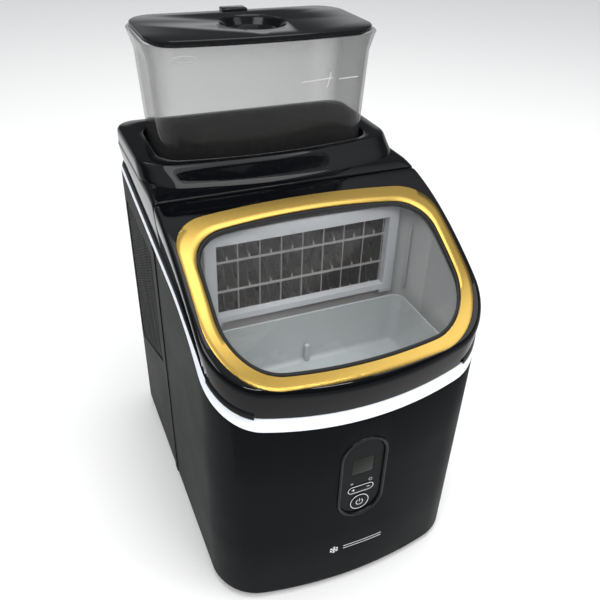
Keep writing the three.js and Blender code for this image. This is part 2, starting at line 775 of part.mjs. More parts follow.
function condenser() {
  const core = box(100, 103, 36, 152, 30, 160);
  const fins = [];
  for (let i = 0; i < 9; i += 1) fins.push(box(97, 113, 36, 152, 35 + 14 * i, 38 + 14 * i));
  const foot = box(98, 108, 40, 148, 9.9, 31);
  return join(core, ...fins, foot);
}

function fanShroud() {
  const plate = box(92, 95.5, 38, 152, 26, 158);
  const ringWall = rod('x', FAN.radius + 5, 78, 95.5, [FAN.y, FAN.z], 26);
  const bore = rod('x', FAN.radius + 2.5, 60, 110, [FAN.y, FAN.z], 26);
  const base = box(84, 95.5, 60, 130, 9.9, 30);
  return cut(join(plate, ringWall, base), bore);
}

function fanMotor() {
  const can = rod('x', 16, 38, 68, [FAN.y, FAN.z], 20);
  const post = box(42, 64, FAN.y - 14, FAN.y + 14, 9.9, FAN.z);
  return join(can, post);
}

function fanBlade() {
  const hub = rod('x', 13, 76, 92, [FAN.y, FAN.z], 20);
  const shaft = rod('x', 2.5, 68.4, 80, [FAN.y, FAN.z], 12);
  const blades = [];
  for (let i = 0; i < 5; i += 1) {
    const blade = new THREE.BoxGeometry(1.6, 30, 42).rotateZ(0.5).translate(0, 0, 29);
    blades.push(blade.rotateX((2 * Math.PI * i) / 5).translate(84, FAN.y, FAN.z));
  }
  return join(hub, shaft, ...blades);
}

function filterDrier() {
  const profile = [[0, 40], [3, 40], [3, 52], [8.5, 58], [8.5, 108], [3, 114], [3, 126], [0, 126]];
  return turned(profile, 22, 148, 12);
}

function suctionLine() {
  const points = [[-50, 98, 145], [-50, 98, 168], [-46, 80, 190], [-30, 50, 202], [-4, 30, 205], [-4, 18, 207]];
  return tube(points, 3.2, 16, 6);
}

// Partition between the bin and the machinery, and the electrics on it.
function dividerPanel() {
  const plate = box(-112, 112, 11, 13.5, 10.2, 286);
  const windowCut = box(-12, 4, 5, 20, 198, 216);
  const hoseCut = rod('y', 8, 5, 20, [DRAIN.x, DRAIN.sumpZ]);
  return cut(plate, windowCut, hoseCut);
}

function controlBoard() {
  const board = box(30, 105, 20, 21.6, 180, 262);
  const transformer = box(38, 62, 21, 38, 190, 214);
  const connector = box(70, 98, 21, 32, 192, 206);
  const relays = [box(40, 60, 21, 30, 232, 252), box(78, 92, 21, 28, 230, 246)];
  const corners = [[35, 185], [100, 185], [35, 257], [100, 257]];
  const posts = corners.map(([x, z]) => rod('y', 2.5, 13.9, 20.5, [x, z], 10));
  return join(board, transformer, connector, ...relays, ...posts);
}

function powerInlet() {
  const block = box(-95, -67, 148, 165, 35, 57);
  const flange = box(-98, -64, 163.2, 166.5, 32, 60);
  const socket = box(-92, -70, 152, 175, 38.5, 53.5);
  const pins = [-86, -81, -76].map((x) => box(x - 1, x + 1, 150, 163, 42, 48));
  return join(cut(join(block, flange), socket), ...pins);
}

function drainPlug() {
  const neck = rod('y', 9, 159.6, 163, [DRAIN.x, DRAIN.z], 20);
  const cap = rod('y', 12, 162, 166.5, [DRAIN.x, DRAIN.z], 20);
  return join(neck, cap);
}

// Control panel.
function panelBezel() {
  const outer = sweepY(stadium(PANEL.half, PANEL.height / 2, 0, PANEL.z), -166.5, -158);
  const inner = sweepY(stadium(PANEL.half - 3, PANEL.height / 2 - 3, 0, PANEL.z), -170, -150);
  return cut(outer, inner);
}

const POWER_Z = PANEL.z - 31;
const KEY_Z = PANEL.z - 14.5;
const keyOutline = (grow) => stadium(4.8 + grow, 13 + grow, 0, 0).map(([a, b]) => [b, KEY_Z + a]);

function panelPlate() {
  const plate = sweepY(stadium(PANEL.half - 3.4, PANEL.height / 2 - 3.4, 0, PANEL.z), -164, -160.5);
  const screen = box(-10.3, 10.3, -170, -150, PANEL.z + 3.7, PANEL.z + 22.3);
  const key = sweepY(keyOutline(0.4), -170, -150);
  const button = rod('y', 9.9, -170, -150, [0, POWER_Z], 28);
  return cut(plate, screen, key, button);
}

function displayWindow() {
  return box(-10, 10, -164, -161.5, PANEL.z + 4, PANEL.z + 22);
}

function selectKey() {
  return sweepY(keyOutline(0), -164.4, -161.8);
}

function powerButton() {
  return rod('y', 9.5, -164.6, -161.8, [0, POWER_Z], 28);
}

function screw(x) {
  const head = rod('y', 3.6, 164.5, 166.2, [x, SCREW_Z], 12);
  return join(head, rod('y', 1.6, 158, 165, [x, SCREW_Z], 10));
}

// Assembly.
add('base_tray', baseTray(), MATTE_BLACK, 0.7);
for (const [name, x, y] of [
  ['foot_front_left', -92, -125],
  ['foot_front_right', 92, -125],
  ['foot_rear_left', -92, 138],
  ['foot_rear_right', 92, 138],
]) add(name, foot(x, y), RUBBER, 0.9);
add('front_shell', frontShell(), MATTE_BLACK, 0.5);
add('rear_shell', rearShell(), MATTE_BLACK, 0.5);
add('left_vent_grille', ventGrille(-1), 0x17181a, 0.6);
add('right_vent_grille', ventGrille(1), 0x17181a, 0.6);
add('rear_grille', rearGrille(), 0x17181a, 0.6);
add('trim_strip', trimStrip(), WHITE, 0.4);
add('tank_collar', tankCollar(), GLOSS_BLACK, 0.12);
add('tank_well', tankWell(), GLOSS_BLACK, 0.25);
add('well_port', wellPort(), 0xd8dadb, 0.5);
add('lid_frame', lidFrame(), GLOSS_BLACK, 0.1);
add('gold_band', goldBand(), 0xc9a54a, 0.35, 0.8);
add('window_gasket', windowGasket(), RUBBER, 0.8);
add('lid_window', lidWindow(), 0xcfd3d6, 0.05, 0, { transparent: true, opacity: 0.35 });
add('left_hinge_pin', hingePin(-1), STEEL, 0.3, 1);
add('right_hinge_pin', hingePin(1), STEEL, 0.3, 1);
add('left_hinge_bracket', hingeBracket(-1), MATTE_BLACK, 0.5);
add('right_hinge_bracket', hingeBracket(1), MATTE_BLACK, 0.5);
add('water_tank', waterTank(), 0xdde1e3, 0.08, 0, { transparent: true, opacity: 0.35 });
add('tank_lid', tankLid(), GLOSS_BLACK, 0.2);
add('tank_valve_body', valveBody(), 0xd8dadb, 0.5);
add('tank_valve_plunger', valvePlunger(), 0x3a6ea5, 0.5);
add('tank_valve_spring', valveSpring(), STEEL, 0.3, 1);
add('tank_seal', tankSeal(), RUBBER, 0.8);
add('bin_liner', binLiner(), LINER_GREY, 0.45);
add('ice_basket', iceBasket(), 0xc9cdce, 0.35, 0, { transparent: true, opacity: 0.75 });
add('evaporator_frame', evaporatorFrame(), WHITE, 0.45);
add('evaporator_grid', evaporatorGrid(), 0x5b5450, 0.35, 0.8);
add('evaporator_tube', evaporatorTube(), COPPER, 0.35, 1);
add('water_distributor', waterDistributor(), WHITE, 0.5);
add('water_sump', waterSump(), LINER_GREY, 0.5);
add('circulation_pump', circulationPump(), 0x202225, 0.5);
add('pump_hose', pumpHose(), 0xd9dcdd, 0.4);
add('drain_hose', drainHose(), 0xd9dcdd, 0.4);
add('water_level_probe', levelProbe(), 0x2c2f33, 0.5);
add('divider_panel', dividerPanel(), 0xb8bcbe, 0.5, 0.6);
add('compressor', compressor(), 0x151617, 0.4, 0.4);
for (const [name, x, y] of MOUNTS) add(name, compressorMount(x, y), RUBBER, 0.9);
add('condenser', condenser(), STEEL, 0.35, 0.9);
add('fan_shroud', fanShroud(), 0x1c1e20, 0.6);
add('fan_motor', fanMotor(), 0x2b2d30, 0.5, 0.5);
add('fan_blade', fanBlade(), 0x26282b, 0.5);
add('filter_drier', filterDrier(), COPPER, 0.3, 1);
add('suction_line', suctionLine(), COPPER, 0.3, 1);
add('control_board', controlBoard(), 0x1f5b3a, 0.5);
add('power_inlet', powerInlet(), 0x141516, 0.5);
add('drain_plug', drainPlug(), 0x1a1b1c, 0.7);
add('panel_bezel', panelBezel(), 0x1b1d20, 0.25);
add('panel_plate', panelPlate(), 0x0d0e10, 0.15);
add('display_window', displayWindow(), 0x23281f, 0.1);
add('select_key', selectKey(), 0x0f1012, 0.2);
add('power_button', powerButton(), 0x0f1012, 0.2);
for (const [name, x] of SCREWS) add(name, screw(x), STEEL, 0.3, 1);

export default machine;
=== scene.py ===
"""A countertop ice maker with a gold-framed lid window and a clear lift-off water tank."""

import math

import bmesh
import bpy
from mathutils import Matrix, Vector


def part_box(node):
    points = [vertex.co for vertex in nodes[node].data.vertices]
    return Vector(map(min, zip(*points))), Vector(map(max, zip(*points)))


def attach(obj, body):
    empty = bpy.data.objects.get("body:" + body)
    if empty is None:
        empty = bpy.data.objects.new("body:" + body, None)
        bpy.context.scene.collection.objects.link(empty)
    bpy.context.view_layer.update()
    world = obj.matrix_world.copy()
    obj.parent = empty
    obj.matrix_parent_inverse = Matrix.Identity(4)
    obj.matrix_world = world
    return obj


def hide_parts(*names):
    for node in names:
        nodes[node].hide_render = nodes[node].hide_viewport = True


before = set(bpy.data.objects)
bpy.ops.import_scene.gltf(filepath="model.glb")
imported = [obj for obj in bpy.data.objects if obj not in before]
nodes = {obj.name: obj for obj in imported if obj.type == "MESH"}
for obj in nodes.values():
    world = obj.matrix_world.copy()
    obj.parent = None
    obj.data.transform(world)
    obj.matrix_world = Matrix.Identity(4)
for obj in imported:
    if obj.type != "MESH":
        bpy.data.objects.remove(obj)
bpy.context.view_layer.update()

# Camera: close to the front left corner of the object and above it, looking down
# along its front, with a normal lens.
def stand(name, data):
    """Puts a camera, lamp, curve or mesh into the scene as an object."""
    obj = bpy.data.objects.new(name, data)
    bpy.context.scene.collection.objects.link(obj)
    return obj


camera_data = bpy.data.cameras.new("camera")
camera_data.lens = 41.19
camera_data.sensor_width = 36.0
camera_data.clip_start = 0.01
camera = stand("camera", camera_data)
right = Vector((0.91996, -0.39087, 0.02995))
up = Vector((0.19480, 0.52210, 0.83034))
ahead = Vector((0.34020, 0.75804, -0.55645))
place = Matrix((right, up, -ahead)).transposed().to_4x4()
place.translation = Vector((-0.21616, -0.50514, 0.58029))
camera.matrix_world = place
bpy.context.scene.camera = camera

# Studio: a pale floor, a room that is pale at the horizon, dim above it and bright overhead,
# and soft panels of light. The two long thin ones are what the polished top reflects.
world = bpy.data.worlds.new("room")
world.use_nodes = True
room = world.node_tree
where = room.nodes.new("ShaderNodeTexCoord")
split = room.nodes.new("ShaderNodeSeparateXYZ")
room.links.new(where.outputs["Generated"], split.inputs["Vector"])
sky = room.nodes.new("ShaderNodeValToRGB")
sky.color_ramp.elements[0].position = 0.16
sky.color_ramp.elements[0].color = (0.62, 0.64, 0.66, 1.0)
sky.color_ramp.elements[1].position = 0.88
sky.color_ramp.elements[1].color = (0.98, 0.99, 1.0, 1.0)
for height, level in ((0.30, 0.10), (0.58, 0.16)):
    dim = sky.color_ramp.elements.new(height)
    dim.color = (level, level * 1.02, level * 1.05, 1.0)
room.links.new(split.outputs["Z"], sky.inputs["Fac"])
room.links.new(sky.outputs["Color"], room.nodes["Background"].inputs["Color"])
room.nodes["Background"].inputs["Strength"].default_value = 1.15
bpy.context.scene.world = world
bpy.context.scene.view_settings.view_transform = "Standard"

floor_mesh = bmesh.new()
bmesh.ops.create_grid(floor_mesh, x_segments=1, y_segments=1, size=6.0)
floor_data = bpy.data.meshes.new("floor")
floor_mesh.to_mesh(floor_data)
floor_mesh.free()
floor = stand("floor", floor_data)
floor_paint = bpy.data.materials.new("pale_floor")
floor_paint.use_nodes = True
floor_shader = floor_paint.node_tree.nodes["Principled BSDF"]
floor_shader.inputs["Base Color"].default_value = (0.9, 0.9, 0.9, 1.0)
floor_shader.inputs["Roughness"].default_value = 0.7
floor_data.materials.append(floor_paint)


def light_panel(name, spot, target, width, height, power, tint=(1.0, 1.0, 1.0)):
    """A rectangular soft light at one point, turned towards another."""
    data = bpy.data.lights.new(name, "AREA")
    data.shape = "RECTANGLE"
    data.size = width
    data.size_y = height
    data.energy = power
    data.color = tint
    lamp = stand(name, data)
    lamp.location = spot
    lamp.rotation_euler = (Vector(target) - Vector(spot)).to_track_quat("-Z", "Y").to_euler()


light_panel("key_left", (-1.2, -1.2, 2.1), (0, 0, 0.25), 1.2, 0.8, 22)
light_panel("fill_right", (1.6, -1.3, 1.8), (0, 0, 0.2), 1.0, 1.2, 13)
light_panel("tube_high", (0.1, 1.3, 1.75), (0, 0.05, 0.35), 1.3, 0.05, 3.5, (1.0, 0.97, 0.9))
light_panel("tube_front", (0.35, -1.5, 1.62), (0, 0.05, 0.35), 0.8, 0.05, 6, (1.0, 0.98, 0.93))
light_panel("top_soft", (0.2, -0.1, 2.2), (0, 0, 0.2), 1.2, 1.2, 20)

# Body shells: two moulded black halves, front and rear, that meet in a seam down each side.
# They lean out a little with height and end at the white line. The front one has the
# panel opening, the rear one the vents, the mains inlet, the drain and two screws.
MM = 0.001
WIDENING = 0.0000675


def box_of(node):
    """The low and the high corner of a CAD node, in millimetres."""
    low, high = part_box(node)
    return low / MM, high / MM


def centre_of(node):
    """The middle of a CAD node across and up, in millimetres."""
    low, high = box_of(node)
    return (low.x + high.x) / 2, (low.z + high.z) / 2


shell_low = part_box("front_shell")[0] / MM
shell_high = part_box("rear_shell")[1] / MM
FRONT_BOW = 7.2
BODY = {
    "half": shell_high.x / (1 + WIDENING * shell_high.z),
    "front": shell_low.y + FRONT_BOW,
    "rear": shell_high.y,
    "bow": FRONT_BOW,
    "front_radius": 45.0,
    "rear_radius": 20.0,
}
TRIM_START, TRIM_BEND, TRIM_END = (-112.0, 241.4), (-75.2, 267.9), (-38.0, 273.7)
TRIM_FRONT, TRIM_REAR = (-172.0, 198.2), (175.0, 306.7)


def bend_height(a, b, c, y):
    """Height at y of the curve that leaves a, heads for b and arrives at c."""
    square = a[0] - 2 * b[0] + c[0]
    linear = 2 * (b[0] - a[0])
    t = (math.sqrt(linear * linear - 4 * square * (a[0] - y)) - linear) / (2 * square)
    return a[1] * (1 - t) ** 2 + 2 * b[1] * t * (1 - t) + c[1] * t * t


def trim_height(y):
    """Lower edge of the white line at y."""
    if y < TRIM_START[0]:
        (y0, z0), (y1, z1) = TRIM_FRONT, TRIM_START
    elif y > TRIM_END[0]:
        (y0, z0), (y1, z1) = TRIM_END, TRIM_REAR
    else:
        return bend_height(TRIM_START, TRIM_BEND, TRIM_END, y)
    return z0 + (y - y0) * (z1 - z0) / (y1 - y0)


def end_arc(half, bow, radius):
    """Turning angle and depth of the corner centres behind an end that bows out."""
    if bow < 0.01:
        return 0.0, radius, 0.0
    reach = half - radius
    arc = (reach * reach + bow * bow) / (2 * bow)
    depth = arc - math.sqrt((arc - radius) ** 2 - reach * reach)
    return math.asin(reach / (arc - radius)), depth, arc


def outline(
        half, front, rear, bow=0.0, front_radius=20.0, rear_radius=20.0, rear_bow=0.0, inset=0.0, rear_inset=None):
    """A closed outline seen from above: both ends may bow out, and the corners are round."""
    rear_inset = inset if rear_inset is None else rear_inset
    half, front, rear = half - inset, front + inset, rear - rear_inset
    front_radius, rear_radius = max(front_radius - inset, 1.5), max(rear_radius - rear_inset, 1.5)
    points = []
    ends = ((-1, front, bow, front_radius), (1, rear, rear_bow, rear_radius))
    for side, edge, bulge, radius in ends:
        turn, depth, arc = end_arc(half, bulge, radius)
        tip = edge + side * bulge
        for i in range(24):
            x = -1 + 2 * i / 24
            if arc:
                angle = turn * x
                points.append((-side * arc * math.sin(angle), tip - side * arc * (1 - math.cos(angle))))
            else:
                points.append((-side * (half - radius) * x, tip))
        centre_y = tip - side * depth
        for i in range(14):
            angle = -math.pi / 2 + turn + (math.pi / 2 - turn) * i / 14
            x = -side * (half - radius) - side * radius * math.cos(angle)
            points.append((x, centre_y - side * radius * math.sin(angle)))
        far_turn, far_depth, _ = end_arc(half, (rear_bow, bow)[side > 0], (rear_radius, front_radius)[side > 0])
        far_y = (rear + rear_bow, front - bow)[side > 0] + side * far_depth
        for i in range(26):
            points.append((-side * half, centre_y + (far_y - centre_y) * i / 26))
        far_radius = (rear_radius, front_radius)[side > 0]
        for i in range(14):
            angle = (math.pi / 2 - far_turn) * i / 14
            x = -side * (half - far_radius) - side * far_radius * math.cos(angle)
            points.append((x, far_y - side * far_radius * math.sin(angle)))
    return points


def body_outline(inset=0.0, **changes):
    return outline(**{**BODY, **changes, "inset": inset})


def at_height(points, height, lean=True):
    """Puts an outline at a height, or at a height for each y, and widens it as the sides do."""
    ring = []
    for x, y in points:
        z = height(y) if callable(height) else height
        ring.append((x * (1 + WIDENING * z) if lean else x, y, z))
    return ring


def verts_of(geom):
    return [g for g in geom if isinstance(g, bmesh.types.BMVert)]


def edges_of(geom):
    return [g for g in geom if isinstance(g, bmesh.types.BMEdge)]


def pull_through(rings, joined=False, capped=False):
    """Draws the first ring as a loop of edges and pulls it through the others."""
    bm = bmesh.new()
    loop = [bm.verts.new(Vector(p) * MM) for p in rings[0]]
    first = [bm.edges.new(pair) for pair in zip(loop, loop[1:] + loop[:1])]
    edges, start = first, loop
    for ring in rings[1:]:
        made = bmesh.ops.extrude_edge_only(bm, edges=edges)["geom"]
        order = {vert: i for i, vert in enumerate(loop)}
        edges = [e for e in edges_of(made) if not any(v in order for v in e.verts)]
        fresh = [None] * len(loop)
        for vert in verts_of(made):
            partner = next(e.other_vert(vert) for e in vert.link_edges if e.other_vert(vert) in order)
            fresh[order[partner]] = vert
        for vert, point in zip(fresh, ring):
            vert.co = Vector(point) * MM
        loop = fresh
    if joined:
        bmesh.ops.bridge_loops(bm, edges=first + edges)
    if capped:
        bmesh.ops.contextual_create(bm, geom=start)
        bmesh.ops.contextual_create(bm, geom=loop)
    bmesh.ops.recalc_face_normals(bm, faces=bm.faces)
    return bm


def thicken(bm, push):
    """Gives a flat sheet its thickness, by a push in millimetres."""
    made = bmesh.ops.extrude_face_region(bm, geom=bm.faces[:])["geom"]
    bmesh.ops.translate(bm, verts=verts_of(made), vec=Vector(push) * MM)
    bmesh.ops.recalc_face_normals(bm, faces=bm.faces)


def slab(points, push):
    """A flat outline in millimetres, pushed into a solid."""
    bm = bmesh.new()
    bm.faces.new([bm.verts.new(Vector(p) * MM) for p in points])
    thicken(bm, push)
    return bm


def block(low, high, chamfer=0.0, segments=2):
    """A box between two corners in millimetres, with rounded edges if asked."""
    bm = bmesh.new()
    bmesh.ops.create_cube(bm, size=1.0)
    size, middle = Vector(high) - Vector(low), (Vector(high) + Vector(low)) / 2
    bmesh.ops.scale(bm, verts=bm.verts, vec=size * MM)
    bmesh.ops.translate(bm, verts=bm.verts, vec=middle * MM)
    if chamfer:
        soften(bm, chamfer, segments)
    return bm


def soften(bm, radius, segments=2, angle=30):
    """Rounds every edge sharper than an angle."""
    sharp = [e for e in bm.edges if e.is_manifold and e.calc_face_angle(0) > math.radians(angle)]
    bmesh.ops.bevel(bm, geom=sharp, offset=radius * MM, segments=segments, profile=0.5, affect="EDGES", material=-1)


def show(name, bm, material, crease=35):
    """Makes an object from a mesh in work, smooth except over sharp edges."""
    mesh = bpy.data.meshes.new(name)
    bm.to_mesh(mesh)
    bm.free()
    mesh.shade_smooth()
    mesh.set_sharp_from_angle(angle=math.radians(crease))
    mesh.materials.append(material)
    return stand(name, mesh)


def carve(obj, *cutters, added=(), crease=35):
    """Joins solids to a piece, cuts others out of it and keeps the result as its mesh."""
    tools = []
    for bm, operation in [(bm, "UNION") for bm in added] + [(bm, "DIFFERENCE") for bm in cutters]:
        mesh = bpy.data.meshes.new("tool")
        bm.to_mesh(mesh)
        bm.free()
        tools.append(stand("tool", mesh))
        cut = obj.modifiers.new("cut", "BOOLEAN")
        cut.operation, cut.solver, cut.object = operation, "EXACT", tools[-1]
    bpy.context.view_layer.update()
    graph = bpy.context.evaluated_depsgraph_get()
    made = bpy.data.meshes.new_from_object(obj.evaluated_get(graph))
    obj.modifiers.clear()
    obj.data = made
    made.name = obj.name
    made.shade_smooth()
    made.set_sharp_from_angle(angle=math.radians(crease))
    for tool in tools:
        bpy.data.objects.remove(tool)


def finish_of(
        name, colour, roughness, metallic=0.0, drift=0.08, uneven=0.03, grain=0.0, grain_size=0.0006, patch=0.05,
        gloss_level=0.5):
    """A moulded, painted or plated surface: its colour drifts slowly, its gloss is uneven
    and it may have a fine grain."""
    material = bpy.data.materials.new(name)
    material.use_nodes = True
    tree = material.node_tree
    shader = tree.nodes["Principled BSDF"]
    shader.inputs["Metallic"].default_value = metallic
    shader.inputs["Specular IOR Level"].default_value = gloss_level
    spot = tree.nodes.new("ShaderNodeTexCoord")
    cloud = tree.nodes.new("ShaderNodeTexNoise")
    cloud.inputs["Scale"].default_value = 1 / patch
    cloud.inputs["Detail"].default_value = 4.0
    tree.links.new(spot.outputs["Object"], cloud.inputs["Vector"])
    tone = tree.nodes.new("ShaderNodeMix")
    tone.data_type = "RGBA"
    tone.inputs["A"].default_value = (*[c * (1 - drift) for c in colour], 1.0)
    tone.inputs["B"].default_value = (*[min(c * (1 + drift), 1.0) for c in colour], 1.0)
    tree.links.new(cloud.outputs["Fac"], tone.inputs["Factor"])
    tree.links.new(tone.outputs["Result"], shader.inputs["Base Color"])
    gloss = tree.nodes.new("ShaderNodeMapRange")
    gloss.inputs["From Min"].default_value = 0.3
    gloss.inputs["From Max"].default_value = 0.7
    gloss.inputs["To Min"].default_value = max(roughness - uneven, 0.02)
    gloss.inputs["To Max"].default_value = roughness + uneven
    tree.links.new(cloud.outputs["Fac"], gloss.inputs["Value"])
    tree.links.new(gloss.outputs["Result"], shader.inputs["Roughness"])
    if grain:
        speck = tree.nodes.new("ShaderNodeTexNoise")
        speck.inputs["Scale"].default_value = 1 / grain_size
        speck.inputs["Detail"].default_value = 2.0
        tree.links.new(spot.outputs["Object"], speck.inputs["Vector"])
        relief = tree.nodes.new("ShaderNodeBump")
        relief.inputs["Strength"].default_value = 1.0
        relief.inputs["Distance"].default_value = grain
        tree.links.new(speck.outputs["Fac"], relief.inputs["Height"])
        tree.links.new(relief.outputs["Normal"], shader.inputs["Normal"])
    return material


matte_black = finish_of(
    "matte_black_shell", (0.0034, 0.0040, 0.0048), 0.5, grain=0.00004, grain_size=0.0007, gloss_level=0.05)


def shell_wall():
    """The whole wall of the body, before it is split into its two halves."""
    foot, wall, trim_gap = 6.5, 3.0, 0.3
    top = lambda y: trim_height(y) - trim_gap
    return pull_through([
        at_height(body_outline(2.2), foot),
        at_height(body_outline(0.7), foot + 0.5),
        at_height(body_outline(0), foot + 2.4),
        at_height(body_outline(0), lambda y: 0.35 * top(y)),
        at_height(body_outline(0), lambda y: 0.7 * top(y)),
        at_height(body_outline(0), lambda y: top(y) - 0.5),
        at_height(body_outline(0.5), top),
        at_height(body_outline(wall), top),
        at_height(body_outline(wall), foot),
    ], joined=True)


def split_at(bm, point, normal, **keep):
    """Cuts a mesh in work along a plane and gives the edges of the cut."""
    geom = bm.verts[:] + bm.edges[:] + bm.faces[:]
    made = bmesh.ops.bisect_plane(bm, geom=geom, plane_co=Vector(point) * MM, plane_no=normal, **keep)
    return edges_of(made["geom_cut"])


def keep_side(bm, y, side):
    """Cuts a solid across at y, keeps the part on one side and closes it."""
    bmesh.ops.edgeloop_fill(bm, edges=split_at(bm, (0, y, 0), (0, side, 0), clear_inner=True))
    bmesh.ops.recalc_face_normals(bm, faces=bm.faces)


def stadium(half_width, half_height, z, y, steps=18):
    """An upright outline with round ends, centred on x = 0."""
    straight = half_height - half_width
    points = []
    for side, start in ((1, 0.0), (-1, math.pi)):
        for i in range(steps + 1):
            angle = start + math.pi * i / steps
            points.append((half_width * math.cos(angle), y, z + side * straight + half_width * math.sin(angle)))
    return points


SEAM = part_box("front_shell")[1].y / MM
bezel_low, bezel_high = box_of("panel_bezel")
PANEL_Z = centre_of("panel_bezel")[1]
PANEL_HALF = bezel_high.x
PANEL_TALL = (bezel_high.z - bezel_low.z) / 2

front_wall = shell_wall()
keep_side(front_wall, SEAM, -1)
RIB_START, RIB_PROUD = SEAM - 8.5, 0.9
for cut_y in (RIB_START, RIB_START + 0.8):
    split_at(front_wall, (0, cut_y, 0), (0, 1, 0))
for vert in front_wall.verts:
    if vert.co.y > (RIB_START + 0.4) * MM:
        vert.co.x += math.copysign(RIB_PROUD * MM, vert.co.x)
front_shell = show("front_shell_half", front_wall, matte_black)
carve(front_shell, slab(stadium(PANEL_HALF + 0.3, PANEL_TALL + 0.3, PANEL_Z, -180), (0, 40, 0)))
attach(front_shell, "housing")
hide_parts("front_shell")

vent_low, vent_high = box_of("left_vent_grille")


def vent_outline(x, inset=0.0):
    """The wedge-shaped vent opening in a side, at a place across the body."""
    front, rear, top = vent_low.y - 0.35 + inset, vent_high.y + 0.35 - inset, vent_high.z + 0.35 - inset
    return [
        (x, front, vent_low.z + 39.8 + 1.2 * inset),
        (x, rear - 7.0, vent_low.z + 0.4 * inset),
        (x, rear, vent_low.z + 6.0 + inset),
        (x, rear, top - 8.0),
        (x, rear - 7.0, top),
        (x, front + 3.0, top - 8.0),
        (x, front, top - 12.0),
    ]


rear_wall = shell_wall()
keep_side(rear_wall, SEAM + 0.4, 1)
rear_shell = show("rear_shell_half", rear_wall, matte_black)
back_low, back_high = box_of("rear_grille")
inlet_low, inlet_high = box_of("power_inlet")
plug_low, plug_high = box_of("drain_plug")


def drum(radius, start, end, centre, axis="y", sides=32, chamfer=0.0):
    """A round bar along an axis, between two places on it."""
    bm = bmesh.new()
    bmesh.ops.create_cone(
        bm, cap_ends=True, segments=sides, radius1=radius * MM, radius2=radius * MM, depth=(end - start) * MM)
    quarter = math.pi / 2
    turn = {"x": Matrix.Rotation(quarter, 4, "Y"), "y": Matrix.Rotation(-quarter, 4, "X"), "z": Matrix.Identity(4)}
    bmesh.ops.transform(bm, matrix=turn[axis], verts=bm.verts)
    middle = (start + end) / 2
    spot = {"x": (middle, *centre), "y": (centre[0], middle, centre[1]), "z": (*centre, middle)}[axis]
    bmesh.ops.translate(bm, verts=bm.verts, vec=Vector(spot) * MM)
    if chamfer:
        soften(bm, chamfer, 3, angle=60)
    return bm


PLUG = centre_of("drain_plug")
SCREWS = {name: centre_of(name) for name in ("rear_screw_left", "rear_screw_right")}
carve(
    rear_shell,
    slab(vent_outline(-150), (300, 0, 0)),
    block((back_low.x - 0.4, 150, back_low.z - 0.4), (back_high.x + 0.4, 180, back_high.z + 0.4)),
    block((inlet_low.x - 0.4, 150, inlet_low.z - 0.4), (inlet_high.x + 0.4, 180, inlet_high.z + 0.4)),
    drum(plug_high.x - PLUG[0] + 0.4, 150, 180, PLUG),
    *[drum(4.2, 150, 180, spot) for spot in SCREWS.values()],
)
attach(rear_shell, "housing")
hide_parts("rear_shell")

# White line: a bevelled strip of satin white plastic round the whole body, clipped between
# the matte shells and the polished top. Its face leans back as it rises, and its upper
# edge is black along the sides.
TRIM_HEIGHT, TRIM_LEAN = 9.5, 3.4
POLISHED_BLACK = (0.0018, 0.0020, 0.0028)
trim_white = finish_of("satin_white_strip", (0.83, 0.86, 0.93), 0.32, drift=0.02)


def trim_at(rise):
    return lambda y: trim_height(y) + rise


def white_edge(y):
    """How far up the strip is white: all of it in front, a little over half along the sides."""
    share = min(max((y + 128) / 60, 0.0), 1.0)
    return TRIM_HEIGHT - 0.5 - 3.7 * share * share * (3 - 2 * share)


def strip_inset(rise):
    return 0.05 + (TRIM_LEAN - 0.55) * (rise / TRIM_HEIGHT) ** 1.6


def strip_ring(rise_at):
    """A ring on the strip's leaning face, at its own height above the shells for each y."""
    ring = []
    for (x, y), (inner_x, inner_y) in zip(body_outline(0), body_outline(TRIM_LEAN)):
        rise = rise_at(y)
        share = strip_inset(rise) / TRIM_LEAN
        z = trim_height(y) + rise
        ring.append(((x + (inner_x - x) * share) * (1 + WIDENING * z), y + (inner_y - y) * share, z))
    return ring


trim_edge = finish_of("black_strip_edge", POLISHED_BLACK, 0.06, gloss_level=0.19)
strip = show("white_trim_strip", pull_through([
    at_height(body_outline(0.6), trim_at(0.3)),
    strip_ring(lambda y: 0.9),
    strip_ring(lambda y: white_edge(y) * 0.5),
    strip_ring(white_edge),
    at_height(body_outline(TRIM_LEAN - 0.5), trim_at(TRIM_HEIGHT - 0.3)),
    at_height(body_outline(TRIM_LEAN + 0.2), trim_at(TRIM_HEIGHT)),
    at_height(body_outline(TRIM_LEAN + 3.5), trim_at(TRIM_HEIGHT)),
    at_height(body_outline(TRIM_LEAN + 3.5), trim_at(0.3)),
], joined=True), trim_white, crease=50)
strip.data.materials.append(trim_edge)
for face in strip.data.polygons:
    middle = face.center / MM
    if middle.y > -125 and middle.z > trim_height(middle.y) + white_edge(middle.y) + 0.1:
        face.material_index = 1
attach(strip, "housing")
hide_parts("trim_strip")

# Vents: a plate of small six-sided openings in each side, and one across the back.
# Each is moulded in matte black and clipped in from inside.
vent_black = finish_of("matte_black_mesh", (0.004, 0.0045, 0.005), 0.5, gloss_level=0.12)


def honeycomb(width, height, pitch, web):
    """A flat sheet of six-sided cells with their middles open."""
    bm = bmesh.new()
    side = pitch / math.sqrt(3)
    row_step = 1.5 * side
    rows, columns = int(height / row_step) + 2, int(width / pitch) + 2
    for row in range(rows):
        for column in range(columns):
            spot = Matrix.Translation(((column + 0.5 * (row % 2)) * pitch * MM, row * row_step * MM, 0))
            bmesh.ops.create_circle(bm, cap_ends=True, segments=6, radius=side * MM, matrix=spot)
    bmesh.ops.remove_doubles(bm, verts=bm.verts, dist=0.05 * MM)
    bmesh.ops.inset_individual(bm, faces=bm.faces[:], thickness=web / 2 * MM)
    bmesh.ops.delete(bm, geom=[f for f in bm.faces if len(f.verts) == 6], context="FACES")
    return bm


